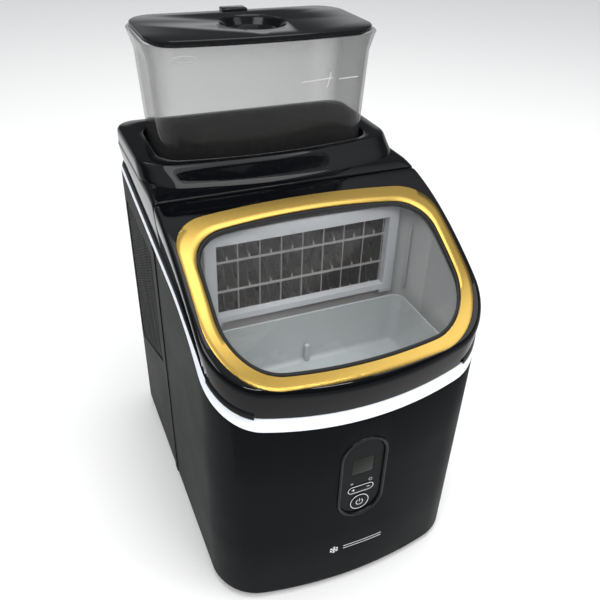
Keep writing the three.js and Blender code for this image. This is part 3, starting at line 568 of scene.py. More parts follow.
def trim_to(bm, outline_points, across):
    """Cuts a flat sheet to a convex outline. across is the direction square to the sheet."""
    middle = sum((Vector(p) for p in outline_points), Vector()) / len(outline_points)
    for a, b in zip(outline_points, outline_points[1:] + outline_points[:1]):
        a, b = Vector(a), Vector(b)
        normal = (b - a).cross(across)
        if normal.dot(middle - a) > 0:
            normal.negate()
        split_at(bm, a, normal, clear_outer=True)


def rim_of(points, push, width):
    """A flat frame that follows an outline inside it."""
    bm = bmesh.new()
    face = bm.faces.new([bm.verts.new(Vector(p) * MM) for p in points])
    border = set(bmesh.ops.inset_region(bm, faces=[face], thickness=width * MM)["faces"])
    bmesh.ops.delete(bm, geom=[f for f in bm.faces if f not in border], context="FACES")
    thicken(bm, push)
    return bm


def add_to(bm, other):
    """Joins one mesh in work into another."""
    mesh = bpy.data.meshes.new("part")
    other.to_mesh(mesh)
    other.free()
    bm.from_mesh(mesh)
    bpy.data.meshes.remove(mesh)


CELL_PITCH, WEB, SHEET = 5.2, 1.5, 1.8
for side, node in ((-1, "left_vent_grille"), (1, "right_vent_grille")):
    face_x = side * 119.4
    sheet = honeycomb(112, 176, CELL_PITCH, WEB)
    turn = Matrix(((0, 0, 1, 0), (1, 0, 0, 0), (0, 1, 0, 0), (0, 0, 0, 1)))
    bmesh.ops.transform(sheet, matrix=turn, verts=sheet.verts)
    bmesh.ops.translate(sheet, verts=sheet.verts, vec=Vector((face_x, vent_low.y - 2, vent_low.z - 2)) * MM)
    trim_to(sheet, vent_outline(face_x, 1.2), Vector((1, 0, 0)))
    thicken(sheet, (-side * SHEET, 0, 0))
    add_to(sheet, rim_of(vent_outline(face_x + side * 0.3, 0.4), (-side * 2.4, 0, 0), 3.2))
    for vert in sheet.verts:
        vert.co.x *= 1 + WIDENING * vert.co.z / MM
    vent = show(node + "_mesh", sheet, vent_black)
    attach(vent, "housing")
    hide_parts(node)

back_corners = [
    (back_low.x, back_low.z), (back_high.x, back_low.z), (back_high.x, back_high.z), (back_low.x, back_high.z)]
back_face = back_high.y
back_sheet = honeycomb(back_high.x - back_low.x + 6, back_high.z - back_low.z + 6, CELL_PITCH, WEB)
upright = Matrix(((1, 0, 0, 0), (0, 0, 1, 0), (0, 1, 0, 0), (0, 0, 0, 1)))
bmesh.ops.transform(back_sheet, matrix=upright, verts=back_sheet.verts)
back_start = Vector((back_low.x - 2, back_face, back_low.z - 2)) * MM
bmesh.ops.translate(back_sheet, verts=back_sheet.verts, vec=back_start)
trim_to(back_sheet, [(x, back_face, z) for x, z in back_corners], Vector((0, 1, 0)))
thicken(back_sheet, (0, -SHEET, 0))
add_to(back_sheet, rim_of([(x, back_face + 0.2, z) for x, z in back_corners], (0, -2.4, 0), 4.0))
back_vent = show("rear_vent_mesh", back_sheet, vent_black)
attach(back_vent, "housing")
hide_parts("rear_grille")

# Lid: a polished black frame that follows one long curve from the front edge up to the
# rear cover. It is rounded over at its edge, has a finger ledge at each front corner
# and turns on two steel pins.
CROWN_FRONT, CROWN_CONTROL, CROWN_REAR = (-165.3, 239.0), (-63.3, 327.0), (18.7, 335.0)
LID_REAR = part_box("lid_frame")[1].y / MM
gloss_black = finish_of(
    "gloss_black_top", POLISHED_BLACK, 0.04, drift=0.1, uneven=0.01, patch=0.09, gloss_level=0.19)


def crown(y):
    """Height of the lid's top surface at y."""
    if y > CROWN_REAR[0]:
        return CROWN_REAR[1]
    if y < CROWN_FRONT[0]:
        return CROWN_FRONT[1] + 0.86 * (y - CROWN_FRONT[0])
    return bend_height(CROWN_FRONT, CROWN_CONTROL, CROWN_REAR, y)


def below_crown(drop):
    return lambda y: crown(y) - drop


def between(a, b, share):
    """An outline part of the way from one to another."""
    return [(p[0] + (q[0] - p[0]) * share, p[1] + (q[1] - p[1]) * share) for p, q in zip(a, b)]


def lid_outline(inset, rear_inset=None):
    return body_outline(inset, rear=LID_REAR, rear_radius=4.0, rear_inset=rear_inset)


BAND = {
    "half": 114.3, "front": -157.4, "rear": -20.3, "bow": 2.6, "rear_bow": 5.0, "front_radius": 52.0,
    "rear_radius": 32.0}
WINDOW = {
    "half": 103.5, "front": -149.3, "rear": -35.8, "bow": 3.0, "rear_bow": 4.5, "front_radius": 45.0,
    "rear_radius": 32.0}
SKIRT_IN, EDGE_RADIUS = 3.3, 4.0
lid_foot = trim_at(TRIM_HEIGHT + 0.6)


def rolled_edge(outline_at, steps=6):
    """Rings that roll over from a wall to the top. outline_at gives the outline for a distance in."""
    rings = []
    for step in range(steps + 1):
        angle = math.pi / 2 * step / steps
        edge_in, drop = EDGE_RADIUS * (1 - math.cos(angle)), EDGE_RADIUS * (1 - math.sin(angle))
        rings.append(at_height(outline_at(edge_in), below_crown(drop)))
    return rings


band_edge = outline(**BAND, inset=-0.3)
shoulder = lid_outline(0.3 + EDGE_RADIUS, 0.9 * EDGE_RADIUS)
lid_rings = [
    at_height(lid_outline(SKIRT_IN, 0), lid_foot),
    at_height(lid_outline(SKIRT_IN - 0.6, 0), lambda y: lid_foot(y) + 0.8),
    *rolled_edge(lambda edge_in: lid_outline(0.3 + edge_in, 0.9 * edge_in)),
    *[at_height(between(shoulder, band_edge, share), crown) for share in (0.25, 0.5, 0.75, 1.0)],
    at_height(outline(**BAND, inset=-0.05), below_crown(0.5)),
    at_height(outline(**BAND, inset=0.4), below_crown(1.1)),
    at_height(outline(**WINDOW, inset=0), below_crown(1.1)),
    at_height(outline(**WINDOW, inset=0), below_crown(4)),
    at_height(lid_outline(7, 9), below_crown(4)),
    at_height(lid_outline(4.4, 8), below_crown(8)),
    at_height(lid_outline(SKIRT_IN + 2.8, 8), lid_foot),
]
lid_frame = show("gloss_lid_frame", pull_through(lid_rings, joined=True), gloss_black, crease=40)
hinge_low, hinge_high = box_of("right_hinge_pin")
HINGE_Y, HINGE_Z = (hinge_low.y + hinge_high.y) / 2, (hinge_low.z + hinge_high.z) / 2
bracket_low, bracket_high = box_of("right_hinge_bracket")
pockets = [block((-112, -16, 250), (112, 30, 322))]
for side in (-1, 1):
    span = sorted((side * (bracket_low.x - 0.5), side * (bracket_high.x + 0.5)))
    pockets.append(block((span[0], HINGE_Y - 3, 250), (span[1], 30, HINGE_Z + 1.6)))
    pockets.append(drum(3.0, span[0], span[1], (HINGE_Y, HINGE_Z), "x"))
    pin_span = sorted((side * 94.5, side * 117))
    pockets.append(drum(1.8, *pin_span, (HINGE_Y, HINGE_Z), "x", 16))
carve(lid_frame, *pockets, crease=40)
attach(lid_frame, "lid")
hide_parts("lid_frame")

LEDGE_FOOT, LEDGE_INNER, LEDGE_END = TRIM_HEIGHT + 1.2, 92.0, -124.0
for side, label in ((-1, "left"), (1, "right")):
    ledge = pull_through([
        at_height(lid_outline(inset), trim_at(LEDGE_FOOT + rise)) for inset, rise in (
            (5.0, 0), (1.6, 0), (0.7, 0.9), (0.7, 3.4), (1.4, 4.8), (3.2, 7.6), (5.0, 7.6))
    ], joined=True)
    for point, normal in (((side * LEDGE_INNER, 0, 0), (-side, 0, 0)), ((0, LEDGE_END, 0), (0, 1, 0))):
        bmesh.ops.edgeloop_fill(ledge, edges=split_at(ledge, point, normal, clear_outer=True))
    ledge_piece = show("lid_finger_ledge_" + label, ledge, gloss_black, crease=40)
    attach(ledge_piece, "lid")

# Gold band: a thin ring of anodised metal let into the lid round the window. Its surface
# is satin with a very fine grain.
gold = finish_of(
    "satin_gold_band", (0.335, 0.222, 0.052), 0.26, metallic=0.9, drift=0.04, uneven=0.02, grain=0.000004,
    grain_size=0.0004)
band = show("gold_window_band", pull_through([
    at_height(outline(**BAND), below_crown(0.8)),
    at_height(outline(**BAND), below_crown(0.15)),
    at_height(outline(**BAND, inset=0.35), below_crown(-0.12)),
    at_height(between(outline(**BAND), outline(**WINDOW), 0.33), below_crown(-0.15)),
    at_height(between(outline(**BAND), outline(**WINDOW), 0.66), below_crown(-0.15)),
    at_height(outline(**WINDOW, inset=-0.3), below_crown(-0.12)),
    at_height(outline(**WINDOW, inset=0.15), below_crown(0.3)),
    at_height(outline(**WINDOW, inset=0.15), below_crown(0.8)),
], joined=True), gold, crease=40)
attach(band, "lid")
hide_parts("gold_band")

# Window: a clear curved pane held by a black rubber seal just inside the gold band.
rubber = finish_of("black_rubber", (0.006, 0.006, 0.007), 0.6, grain=0.00003, gloss_level=0.3)
gasket = show("window_seal", pull_through([
    at_height(outline(**WINDOW, inset=inset), below_crown(drop)) for inset, drop in (
        (0.5, 3.6), (0.5, 0.9), (1.2, 0.35), (2.2, 0.5), (3.0, 1.2), (3.0, 3.6))
], joined=True), rubber, crease=60)
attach(gasket, "lid")
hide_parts("window_gasket")


def clear_plastic(name, colour, clarity, edge, roughness=0.04):
    """Clear moulded plastic: it lets most light through face on, and shows its own
    colour and its gloss where it is seen at a slant."""
    material = bpy.data.materials.new(name)
    material.use_nodes = True
    tree = material.node_tree
    shader = tree.nodes["Principled BSDF"]
    spot = tree.nodes.new("ShaderNodeTexCoord")
    ripple = tree.nodes.new("ShaderNodeTexNoise")
    ripple.inputs["Scale"].default_value = 14.0
    tree.links.new(spot.outputs["Object"], ripple.inputs["Vector"])
    tone = tree.nodes.new("ShaderNodeMix")
    tone.data_type = "RGBA"
    tone.inputs["A"].default_value = (*[c * 0.94 for c in colour], 1.0)
    tone.inputs["B"].default_value = (*colour, 1.0)
    tree.links.new(ripple.outputs["Fac"], tone.inputs["Factor"])
    tree.links.new(tone.outputs["Result"], shader.inputs["Base Color"])
    gloss = tree.nodes.new("ShaderNodeMapRange")
    gloss.inputs["To Min"].default_value = roughness
    gloss.inputs["To Max"].default_value = roughness + 0.04
    tree.links.new(ripple.outputs["Fac"], gloss.inputs["Value"])
    tree.links.new(gloss.outputs["Result"], shader.inputs["Roughness"])
    slant = tree.nodes.new("ShaderNodeLayerWeight")
    slant.inputs["Blend"].default_value = 0.35
    cover = tree.nodes.new("ShaderNodeMapRange")
    cover.inputs["To Min"].default_value = clarity
    cover.inputs["To Max"].default_value = edge
    tree.links.new(slant.outputs["Facing"], cover.inputs["Value"])
    tree.links.new(cover.outputs["Result"], shader.inputs["Alpha"])
    return material


window_clear = clear_plastic("clear_window", (0.10, 0.10, 0.10), 0.05, 0.30, roughness=0.015)
pane = bmesh.new()
pane_outline = outline(**WINDOW, inset=3.3)
pane.faces.new([pane.verts.new(Vector((x, y, 0)) * MM) for x, y in pane_outline])
for cut_y in range(-150, -30, 5):
    split_at(pane, (0, cut_y, 0), (0, 1, 0))
upper = set(verts_of(bmesh.ops.extrude_face_region(pane, geom=pane.faces[:])["geom"]))
for vert in pane.verts:
    height = crown(vert.co.y / MM) - (1.2 if vert in upper else 3.4)
    vert.co = Vector((vert.co.x * (1 + WIDENING * height), vert.co.y, height * MM))
bmesh.ops.recalc_face_normals(pane, faces=pane.faces)
window = show("clear_lid_window", pane, window_clear, crease=40)
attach(window, "lid")
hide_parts("lid_window")

# Rear cover: one polished moulding with a deck behind the lid and a raised rim round the
# tank well. The rim climbs from the deck in a soft ramp and has a flat top.
COVER_FRONT, RIM_TOP = 1.95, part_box("tank_collar")[1].z / MM
WELL = {"half": 99.3, "front": 48.1, "rear": 145.9, "bow": 6.7, "front_radius": 23.0, "rear_radius": 23.0}


def cover_outline(inset, front_inset=0.0):
    return body_outline(inset, front=COVER_FRONT + front_inset - inset, bow=0.0, front_radius=3.0 + inset)


def rim_outline(inset, front, radius):
    return body_outline(inset, front=front - inset, bow=WELL["bow"], front_radius=radius + inset)


cover_wall = pull_through([
    at_height(cover_outline(SKIRT_IN), lid_foot),
    *rolled_edge(lambda edge_in: cover_outline(0.3 + edge_in, 0.25 * edge_in)),
    at_height(cover_outline(9.0, 12.0), crown),
    at_height(rim_outline(12, 26, 34), crown),
    at_height(rim_outline(12, 26, 34), 330),
    at_height(cover_outline(6.6, 6), 328),
    at_height(cover_outline(SKIRT_IN + 2.8, 6), lid_foot),
], joined=True)
cover = show("gloss_rear_cover", cover_wall, gloss_black, crease=40)
carve(
    cover,
    block((-112, -20, 250), (112, 9, 326)),
    block((-bracket_high.x - 0.5, -16, 250), (-bracket_low.x + 0.5, 27, 328)),
    block((bracket_low.x - 0.5, -16, 250), (bracket_high.x + 0.5, 27, 328)),
    crease=40,
)
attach(cover, "housing")

rim_rings = [
    *[at_height(rim_outline(inset, front, radius), height) for inset, front, radius, height in (
        (1.2, 13.5, 40, 331.5), (0.9, 14.7, 40, 333.2), (0.9, 17.0, 38.5, 335.0), (0.9, 21.0, 37, 336.8),
        (0.9, 26.0, 35, 339.0), (0.9, 31.5, 32.5, 341.4), (1.0, 36.0, 30, 343.6), (1.5, 39.3, 28, 345.4),
        (2.4, 40.9, 27, 346.4), (3.8, 42.0, 26, RIM_TOP))],
    at_height(between(rim_outline(3.8, 42.0, 26), outline(**WELL), 0.5), RIM_TOP),
    *[at_height(outline(**WELL, inset=inset), height) for inset, height in (
        (-1.4, RIM_TOP), (-0.5, RIM_TOP - 0.4), (0, RIM_TOP - 1.4), (0, 312), (-2.5, 312), (-2.5, 328))],
    at_height(rim_outline(7, 22, 36), 330.5),
]
collar = show("tank_rim_collar", pull_through(rim_rings, joined=True), gloss_black, crease=40)
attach(collar, "housing")
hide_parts("tank_collar")

# Tank well: the black dish the tank stands in, with a low step round its floor and a
# white port that opens the tank's valve. The port is turned, and the dish is moulded.
WELL_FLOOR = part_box("tank_well")[0].z / MM + 3
well_black = finish_of("satin_black_well", (0.0045, 0.005, 0.006), 0.14, uneven=0.04)
port_low, port_high = box_of("well_port")
VALVE = ((port_low.x + port_high.x) / 2, (port_low.y + port_high.y) / 2)
well = show("tank_well_dish", pull_through([
    at_height(outline(**WELL, inset=inset), height) for inset, height in (
        (4.5, WELL_FLOOR), (3.0, WELL_FLOOR + 0.5), (2.3, WELL_FLOOR + 1.5), (2.1, WELL_FLOOR + 3.0),
        (2.1, 340), (0.5, 340), (0.5, WELL_FLOOR - 3))
], capped=True), well_black)
carve(well, drum(17, WELL_FLOOR - 10, WELL_FLOOR + 10, VALVE, "z", 40))
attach(well, "housing")
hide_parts("tank_well")


def turned(profile, centre, steps=40):
    """A turned piece: radius and height pairs, spun round an upright axis."""
    bm = bmesh.new()
    verts = [bm.verts.new(Vector((centre[0] + radius, centre[1], height)) * MM) for radius, height in profile]
    edges = [bm.edges.new(pair) for pair in zip(verts, verts[1:])]
    axis_point = Vector((centre[0], centre[1], 0)) * MM
    bmesh.ops.spin(
        bm, geom=verts + edges, cent=axis_point, axis=(0, 0, 1), angle=2 * math.pi, steps=steps, use_merge=True)
    bmesh.ops.remove_doubles(bm, verts=bm.verts, dist=0.01 * MM)
    bmesh.ops.recalc_face_normals(bm, faces=bm.faces)
    return bm


white_plastic = finish_of("white_moulded_plastic", (0.62, 0.64, 0.67), 0.35, drift=0.03)
low, top = port_low.z, port_high.z
port = show("well_valve_port", turned([
    (0, low), (6, low), (6, low + 9), (16, low + 9), (16.4, low + 9.4), (16.4, top - 0.3), (16.1, top), (14.8, top),
    (14.5, top - 0.3), (14.5, low + 12), (2.6, low + 12), (2.6, low + 13.7), (2.3, low + 14), (0, low + 14)
], VALVE), white_plastic)
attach(port, "housing")
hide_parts("well_port")

# Water tank: a thin-walled clear tub that tapers down into the well and flares into a
# wide rim at the top, with thin pale raised lines on its front.
tank_low, tank_high = box_of("water_tank")
TANK_WALL, TANK_RIM = 2.4, tank_high.z
tank_clear = clear_plastic("clear_water_tank", (0.05, 0.05, 0.048), 0.13, 0.70)


def tank_ring(height, inset):
    """The tank's outline at a height: it grows evenly, and a little more at the flare."""
    rise = min(max((height - tank_low.z) / 141.0, 0.0), 1.0) * 0.92 + (0.08 if height > 425 else 0.0)
    radius = 22 + 3 * rise
    points = outline(95 + 8 * rise, 53 - 3.5 * rise, 139.5 + 13.5 * rise, 4.0, radius, radius, inset=inset)
    return at_height(points, height, lean=False)


TANK_FOOT = tank_low.z
inner_wall = (
    (TANK_FOOT + 3.0, TANK_WALL + 3.0), (TANK_FOOT + 4.2, TANK_WALL + 1.2), (TANK_FOOT + 8.0, TANK_WALL),
    (360, TANK_WALL), (424, TANK_WALL), (428, TANK_WALL - 0.2), (433, TANK_WALL - 1.0), (437, 0.2),
    (TANK_RIM - 0.4, -1.5), (TANK_RIM, -1.9))
outer_wall = (
    (TANK_RIM, -3.5), (TANK_RIM - 0.5, -4.0), (437, -2.9), (433, -1.5), (428, -0.4), (424, 0.0), (360, 0.0),
    (TANK_FOOT + 8.0, 0.0), (TANK_FOOT + 3.0, 0.8), (TANK_FOOT + 0.8, 3.0), (TANK_FOOT, 6.0))
tank_wall = pull_through([tank_ring(*spot) for spot in inner_wall + outer_wall], capped=True)
tank = show("clear_tank", tank_wall, tank_clear, crease=30)
carve(tank, drum(12.4, 270, 310, VALVE, "z", 40), crease=30)
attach(tank, "tank")
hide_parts("water_tank")


def front_of_tank(x, height):
    """Where the tank's front wall is at a height, and across it."""
    rise = (height - tank_low.z) / 141.0 * 0.92
    half, tip = 95 + 8 * rise - 22 - 3 * rise, 53 - 3.5 * rise - 4.0
    arc = (half * half + 16.0) / 8.0
    return tip + arc - math.sqrt(arc * arc - x * x)


def raised_lines(name, paths, width, material, lift=0.0, flat=0.35):
    """Thin raised lines along paths, each a list of points and whether it closes. They are
    flattened front to back, and lift brings them forward."""
    curve = bpy.data.curves.new(name, "CURVE")
    curve.dimensions = "3D"
    curve.bevel_depth = width / 2 * MM
    curve.bevel_resolution = 2
    curve.use_fill_caps = True
    for points, closed in paths:
        spline = curve.splines.new("POLY")
        spline.points.add(len(points) - 1)
        for spot, point in zip(spline.points, points):
            spot.co = (*(Vector((point[0], point[1] / flat, point[2])) * MM), 1.0)
        spline.use_cyclic_u = closed
    maker = stand(name, curve)
    bpy.context.view_layer.update()
    mesh = bpy.data.meshes.new_from_object(maker.evaluated_get(bpy.context.evaluated_depsgraph_get()))
    bpy.data.objects.remove(maker)
    mesh.transform(Matrix.Diagonal((1.0, flat, 1.0, 1.0)))
    mesh.transform(Matrix.Translation((0, -lift * MM, 0)))
    mesh.name = name
    mesh.shade_smooth()
    mesh.materials.clear()
    mesh.materials.append(material)
    return stand(name, mesh)


def on_tank(points):
    return [(x, front_of_tank(x, z), z) for x, z in points]


tank_marks = raised_lines("tank_front_lines", [
    (on_tank([(25 + 3.1 * i, 404.6 + 0.12 * i) for i in range(11)]), False),
    (on_tank([(63 + 2.2 * i, 404.2) for i in range(10)]), False),
    (on_tank([(51, 398), (53, 404), (54.5, 411)]), False),
    (on_tank([
        (-77 + 10 * math.cos(a * math.pi / 10), 431 + 2.6 * math.sin(a * math.pi / 10)) for a in range(20)]), True),
], 1.0, clear_plastic("clear_raised_marks", (0.92, 0.92, 0.92), 0.5, 0.8), 0.05)
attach(tank_marks, "tank")

# Tank lid: satin black, dropped into the tank's rim. It has a deep round finger well in
# the middle, a lifting tab at the back edge and a skirt that shows through the clear rim.
lid_low, lid_high = box_of("tank_lid")
LID_TOP = lid_high.z - 0.4
satin_black = finish_of(
    "satin_black_tank_lid", (0.0040, 0.0043, 0.0050), 0.14, uneven=0.008, patch=0.07, gloss_level=0.16)
TANK_LID = {
    "half": lid_high.x, "front": lid_low.y + 4.0, "rear": 155.0, "bow": 4.0, "front_radius": 26.4,
    "rear_radius": 26.4}


def tank_lid_ring(height, inset):
    return at_height(outline(**TANK_LID, inset=inset), height, lean=False)


FINGER_WELL = (0.0, 100.0)
lid_plate = show("tank_lid_plate", pull_through([
    tank_lid_ring(*spot) for spot in (
        (LID_TOP, 2.2), (LID_TOP - 0.25, 0.9), (LID_TOP - 0.9, 0.15), (LID_TOP - 1.6, 0.0),
        (TANK_RIM + 0.6, 0.0), (TANK_RIM + 0.35, 0.5), (TANK_RIM + 0.35, 3.4), (TANK_RIM - 1.8, 3.8),
        (TANK_RIM - 2.2, 4.4), (TANK_RIM - 2.2, 6.2), (LID_TOP - 3.0, 6.4))
], capped=True), satin_black)
BOWL_FOOT = lid_low.z
bowl_outside = turned([
    (0, BOWL_FOOT + 0.2), (30.5, BOWL_FOOT + 0.2), (31.5, BOWL_FOOT + 1.0), (31.5, LID_TOP - 2.6),
    (0, LID_TOP - 2.6)], FINGER_WELL, 64)
bowl_inside = turned([
    (0, BOWL_FOOT + 2.4), (20, BOWL_FOOT + 2.6), (26, BOWL_FOOT + 4.0), (28.6, LID_TOP - 3.2),
    (29.5, LID_TOP - 1.2), (30.6, LID_TOP - 0.2), (31.6, LID_TOP + 0.3), (31.6, LID_TOP + 4),
    (0, LID_TOP + 4)], FINGER_WELL, 72)
carve(lid_plate, bowl_inside, added=[bowl_outside], crease=30)
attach(lid_plate, "tank_lid")
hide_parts("tank_lid")
tab = show("tank_lid_tab", block((-12, 148, LID_TOP - 3.2), (12, lid_high.y, lid_high.z + 1.6), 1.1, 3), satin_black)
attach(tab, "tank_lid")

# Tank valve: a white body in the tank's floor with a blue plunger, a small steel spring
# and a rubber seal ring under it.
steel = finish_of(
    "plain_steel", (0.55, 0.56, 0.57), 0.28, metallic=1.0, drift=0.04, grain=0.000008, grain_size=0.0003)
valve_blue = finish_of("blue_moulded_plastic", (0.05, 0.16, 0.38), 0.4)


def finish_nodes(material, *names):
    """Gives CAD nodes that keep their own mesh their material."""
    for name in names:
        nodes[name].data.materials.clear()
        nodes[name].data.materials.append(material)


finish_nodes(white_plastic, "tank_valve_body")
finish_nodes(valve_blue, "tank_valve_plunger")
finish_nodes(steel, "tank_valve_spring")
finish_nodes(rubber, "tank_seal")

# Ice bin: a light grey moulded liner that follows the lid's curve at its top, open at the
# back where the ice mould is, with a drain hole in its floor.
LINER = {
    "half": 109.0, "front": -150.0, "rear": -23.5, "bow": FRONT_BOW, "front_radius": 38.0, "rear_radius": 14.0}
LINER_FLOOR = 151.0
liner_grey = finish_of("light_grey_liner", (0.50, 0.51, 0.51), 0.33, drift=0.03, uneven=0.05)


def liner_ring(height, inset):
    return at_height(outline(**LINER, inset=inset), height, lean=False)


mould_low, mould_high = box_of("evaporator_frame")
liner = show("ice_bin_liner", pull_through([
    liner_ring(*spot) for spot in (
        (LINER_FLOOR, 8.0), (LINER_FLOOR + 0.8, 4.8), (LINER_FLOOR + 3.0, 3.0), (LINER_FLOOR + 6.0, 2.5),
        (below_crown(14.0), 2.5), (below_crown(13.2), 2.0), (below_crown(13.2), 0.4), (below_crown(14.0), 0.0),
        (LINER_FLOOR + 2.0, 0.0), (LINER_FLOOR - 2.5, 6.0))
], capped=True), liner_grey)
carve(
    liner,
    block((mould_low.x - 0.4, -40, mould_low.z - 0.4), (mould_high.x + 0.4, -10, 345)),
    drum(6, 130, 170, (0, -60), "z"),
)
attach(liner, "housing")
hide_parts("bin_liner")

for side, label in ((-1, "left"), (1, "right")):
    near, far = sorted((side * 101.0, side * 103.4))
    rib = show("liner_corner_rib_" + label, block((near, -37.5, 226), (far, -34.8, 292), 0.8), liner_grey)
    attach(rib, "housing")

# Corner decks: two small black angle pieces behind the bin, left and right of the mould. They
# are moulded with the housing, and each has a flat and an upright plate that close the space
# over the machinery.
for side, label in ((-1, "left"), (1, "right")):
    near, far = sorted((side * 92.0, side * 118.8))
    deck_plates = block((near, -23.2, 281), (far, 10.6, 283), 0.4)
    add_to(deck_plates, block((near, 8.4, 240), (far, 10.4, 289.6), 0.4))
    deck = show("corner_deck_" + label, deck_plates, matte_black)
    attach(deck, "housing")

# Ice basket: a shallow tub of milky grey plastic that lifts out, with rounded corners,
# drain slots in its floor and a small rib in the middle of its back wall.
basket_low, basket_high = box_of("ice_basket")
BASKET_FLOOR, BASKET_RIM = basket_low.z, basket_high.z
basket_grey = finish_of("milky_grey_basket", (0.46, 0.47, 0.475), 0.26, drift=0.03, uneven=0.05)
basket_grey.node_tree.nodes["Principled BSDF"].inputs["Subsurface Weight"].default_value = 0.15


def basket_ring(height, inset):
    rise = (height - BASKET_FLOOR) / (BASKET_RIM - BASKET_FLOOR)
    points = outline(94 + 5 * rise, -141 - 5 * rise, -39.5 + 3 * rise, 5.0, 30.0, 12.0, inset=inset)
    return at_height(points, height, lean=False)


basket = show("ice_basket_tub", pull_through([
    basket_ring(*spot) for spot in (
        (BASKET_FLOOR + 2.0, 7.0), (BASKET_FLOOR + 2.5, 5.0), (BASKET_FLOOR + 4.4, 2.8), (BASKET_FLOOR + 7.0, 2.0),
        (BASKET_RIM - 3.0, 2.0), (BASKET_RIM - 0.3, 1.7), (BASKET_RIM, 1.2), (BASKET_RIM, 0.3),
        (BASKET_RIM - 0.4, 0.0), (BASKET_FLOOR + 5.0, 0.0), (BASKET_FLOOR + 2.0, 0.7), (BASKET_FLOOR + 0.4, 2.6),
        (BASKET_FLOOR, 5.0))
], capped=True), basket_grey)
carve(basket, *[
    block((x - 10, y - 2, 150), (x + 10, y + 2, 180)) for x in (-60, -30, 30, 60) for y in (-115, -90, -65)])
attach(basket, "basket")
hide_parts("ice_basket")
rib_solid = block((-2.2, -45.5, BASKET_FLOOR + 3), (2.2, -41.0, BASKET_FLOOR + 21), 1.0, 3)
basket_rib = show("ice_basket_back_rib", rib_solid, basket_grey)
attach(basket_rib, "basket")

# Ice mould: a plated metal grid of open cells in a white plastic frame. Each cell is a
# tapered pocket with a slanted floor, so that the ice slides out when it lets go, with a
# fin down its middle and rolled edges in front. The grid is coloured dark as painted shade,
# and the rolled edges light as a painted highlight, though all of it is one plating.
mould_frame = show("mould_frame", block(mould_low, mould_high, 0.8, 2), white_plastic)
carve(
    mould_frame,
    block((-81, mould_low.y - 5, 232.6), (81, mould_high.y + 5, 303)),
    block((-78, mould_low.y - 5, mould_low.z - 2), (78, mould_high.y + 5, mould_low.z + 4.2)),
)
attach(mould_frame, "housing")
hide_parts("evaporator_frame")

grid_low, grid_high = box_of("evaporator_grid")
COLUMNS, ROWS, CELL_DEPTH = 8, 3, 15.0
# The grid and fins are coloured dark here as painted shade for the deep pockets.
shaded_mould_metal = finish_of(
    "plated_mould_painted_shade", (0.060, 0.049, 0.042), 0.30, metallic=0.75, drift=0.2, uneven=0.10, patch=0.02)
# The rolled edges and fin tips get a light copy of the same plating as a painted highlight.
highlight_edge_metal = finish_of("mould_edges_painted_highlight", (0.62, 0.61, 0.60), 0.30, metallic=0.6, drift=0.08)
grid = bmesh.new()
bmesh.ops.create_grid(grid, x_segments=COLUMNS, y_segments=ROWS, size=0.5)
bmesh.ops.scale(grid, verts=grid.verts, vec=Vector((grid_high.x - grid_low.x, grid_high.z - grid_low.z, 1)) * MM)
bmesh.ops.transform(grid, matrix=Matrix.Rotation(math.pi / 2, 4, "X"), verts=grid.verts)
middle = Vector(((grid_low.x + grid_high.x) / 2, grid_low.y, (grid_low.z + grid_high.z) / 2)) * MM
bmesh.ops.translate(grid, verts=grid.verts, vec=middle)
cells = grid.faces[:]
backing = bmesh.ops.extrude_edge_only(grid, edges=[e for e in grid.edges if e.is_boundary])["geom"]
bmesh.ops.translate(grid, verts=verts_of(backing), vec=(0, (grid_high.y - grid_low.y) * MM, 0))
bmesh.ops.contextual_create(grid, geom=edges_of(backing))
bmesh.ops.inset_individual(grid, faces=cells, thickness=0.55 * MM)
deep = bmesh.ops.extrude_discrete_faces(grid, faces=cells)["faces"]
for pocket in deep:
    centre = pocket.calc_center_median()
    for vert in pocket.verts:
        slant = 5.5 if vert.co.z < centre.z else -1.0
        x = centre.x + (vert.co.x - centre.x) * 0.93
        vert.co = Vector((x, vert.co.y + CELL_DEPTH * MM, vert.co.z + slant * MM))
bmesh.ops.recalc_face_normals(grid, faces=grid.faces)
mould = show("ice_mould_grid", grid, shaded_mould_metal, crease=20)
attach(mould, "housing")
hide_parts("evaporator_grid")

column = (grid_high.x - grid_low.x) / COLUMNS
row = (grid_high.z - grid_low.z) / ROWS
fins = bmesh.new()
for level in range(ROWS):
    base = grid_low.z + level * row
    for place in range(COLUMNS):
        x = grid_low.x + (place + 0.5) * column
        profile = [(-1.2, 0.6), (-1.2, 3.0), (3.0, 9.0), (9.0, row - 4.0), (14.0, row - 1.2), (14.0, 0.6)]
        add_to(fins, slab([(x - 0.45, grid_low.y + y, base + z) for y, z in profile], (0.9, 0, 0)))
fin_set = show("ice_mould_fins", fins, shaded_mould_metal, crease=20)
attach(fin_set, "housing")

edges = bmesh.new()
for level in range(1, ROWS):
    z = grid_low.z + level * row
    add_to(edges, block((-81.5, grid_low.y - 2.0, z - 0.75), (81.5, grid_low.y + 0.2, z + 0.75), 0.4))
for place in range(COLUMNS + 1):
    x = grid_low.x + place * column
    low_end, high_end = grid_low.z + 8.0, grid_high.z - 9.5
    add_to(edges, block((x - 0.35, grid_low.y - 0.9, low_end), (x + 0.35, grid_low.y + 0.2, high_end), 0.15))
for place in range(COLUMNS):
    x = grid_low.x + (place + 0.5) * column
    bottom = grid_low.z + 8.0
    add_to(edges, block((x - 0.3, grid_low.y - 1.3, bottom), (x + 0.3, grid_low.y - 1.0, bottom + 2)))
    for level in range(1, ROWS):
        base = grid_low.z + level * row
        tip = [(-1.9, 0.6), (-1.9, 3.6), (-1.1, 5.2), (-1.1, 0.6)]
        add_to(edges, slab([(x - 0.5, grid_low.y + y, base + z) for y, z in tip], (1.0, 0, 0)))
edge_set = show("ice_mould_edges", edges, highlight_edge_metal, crease=20)
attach(edge_set, "housing")

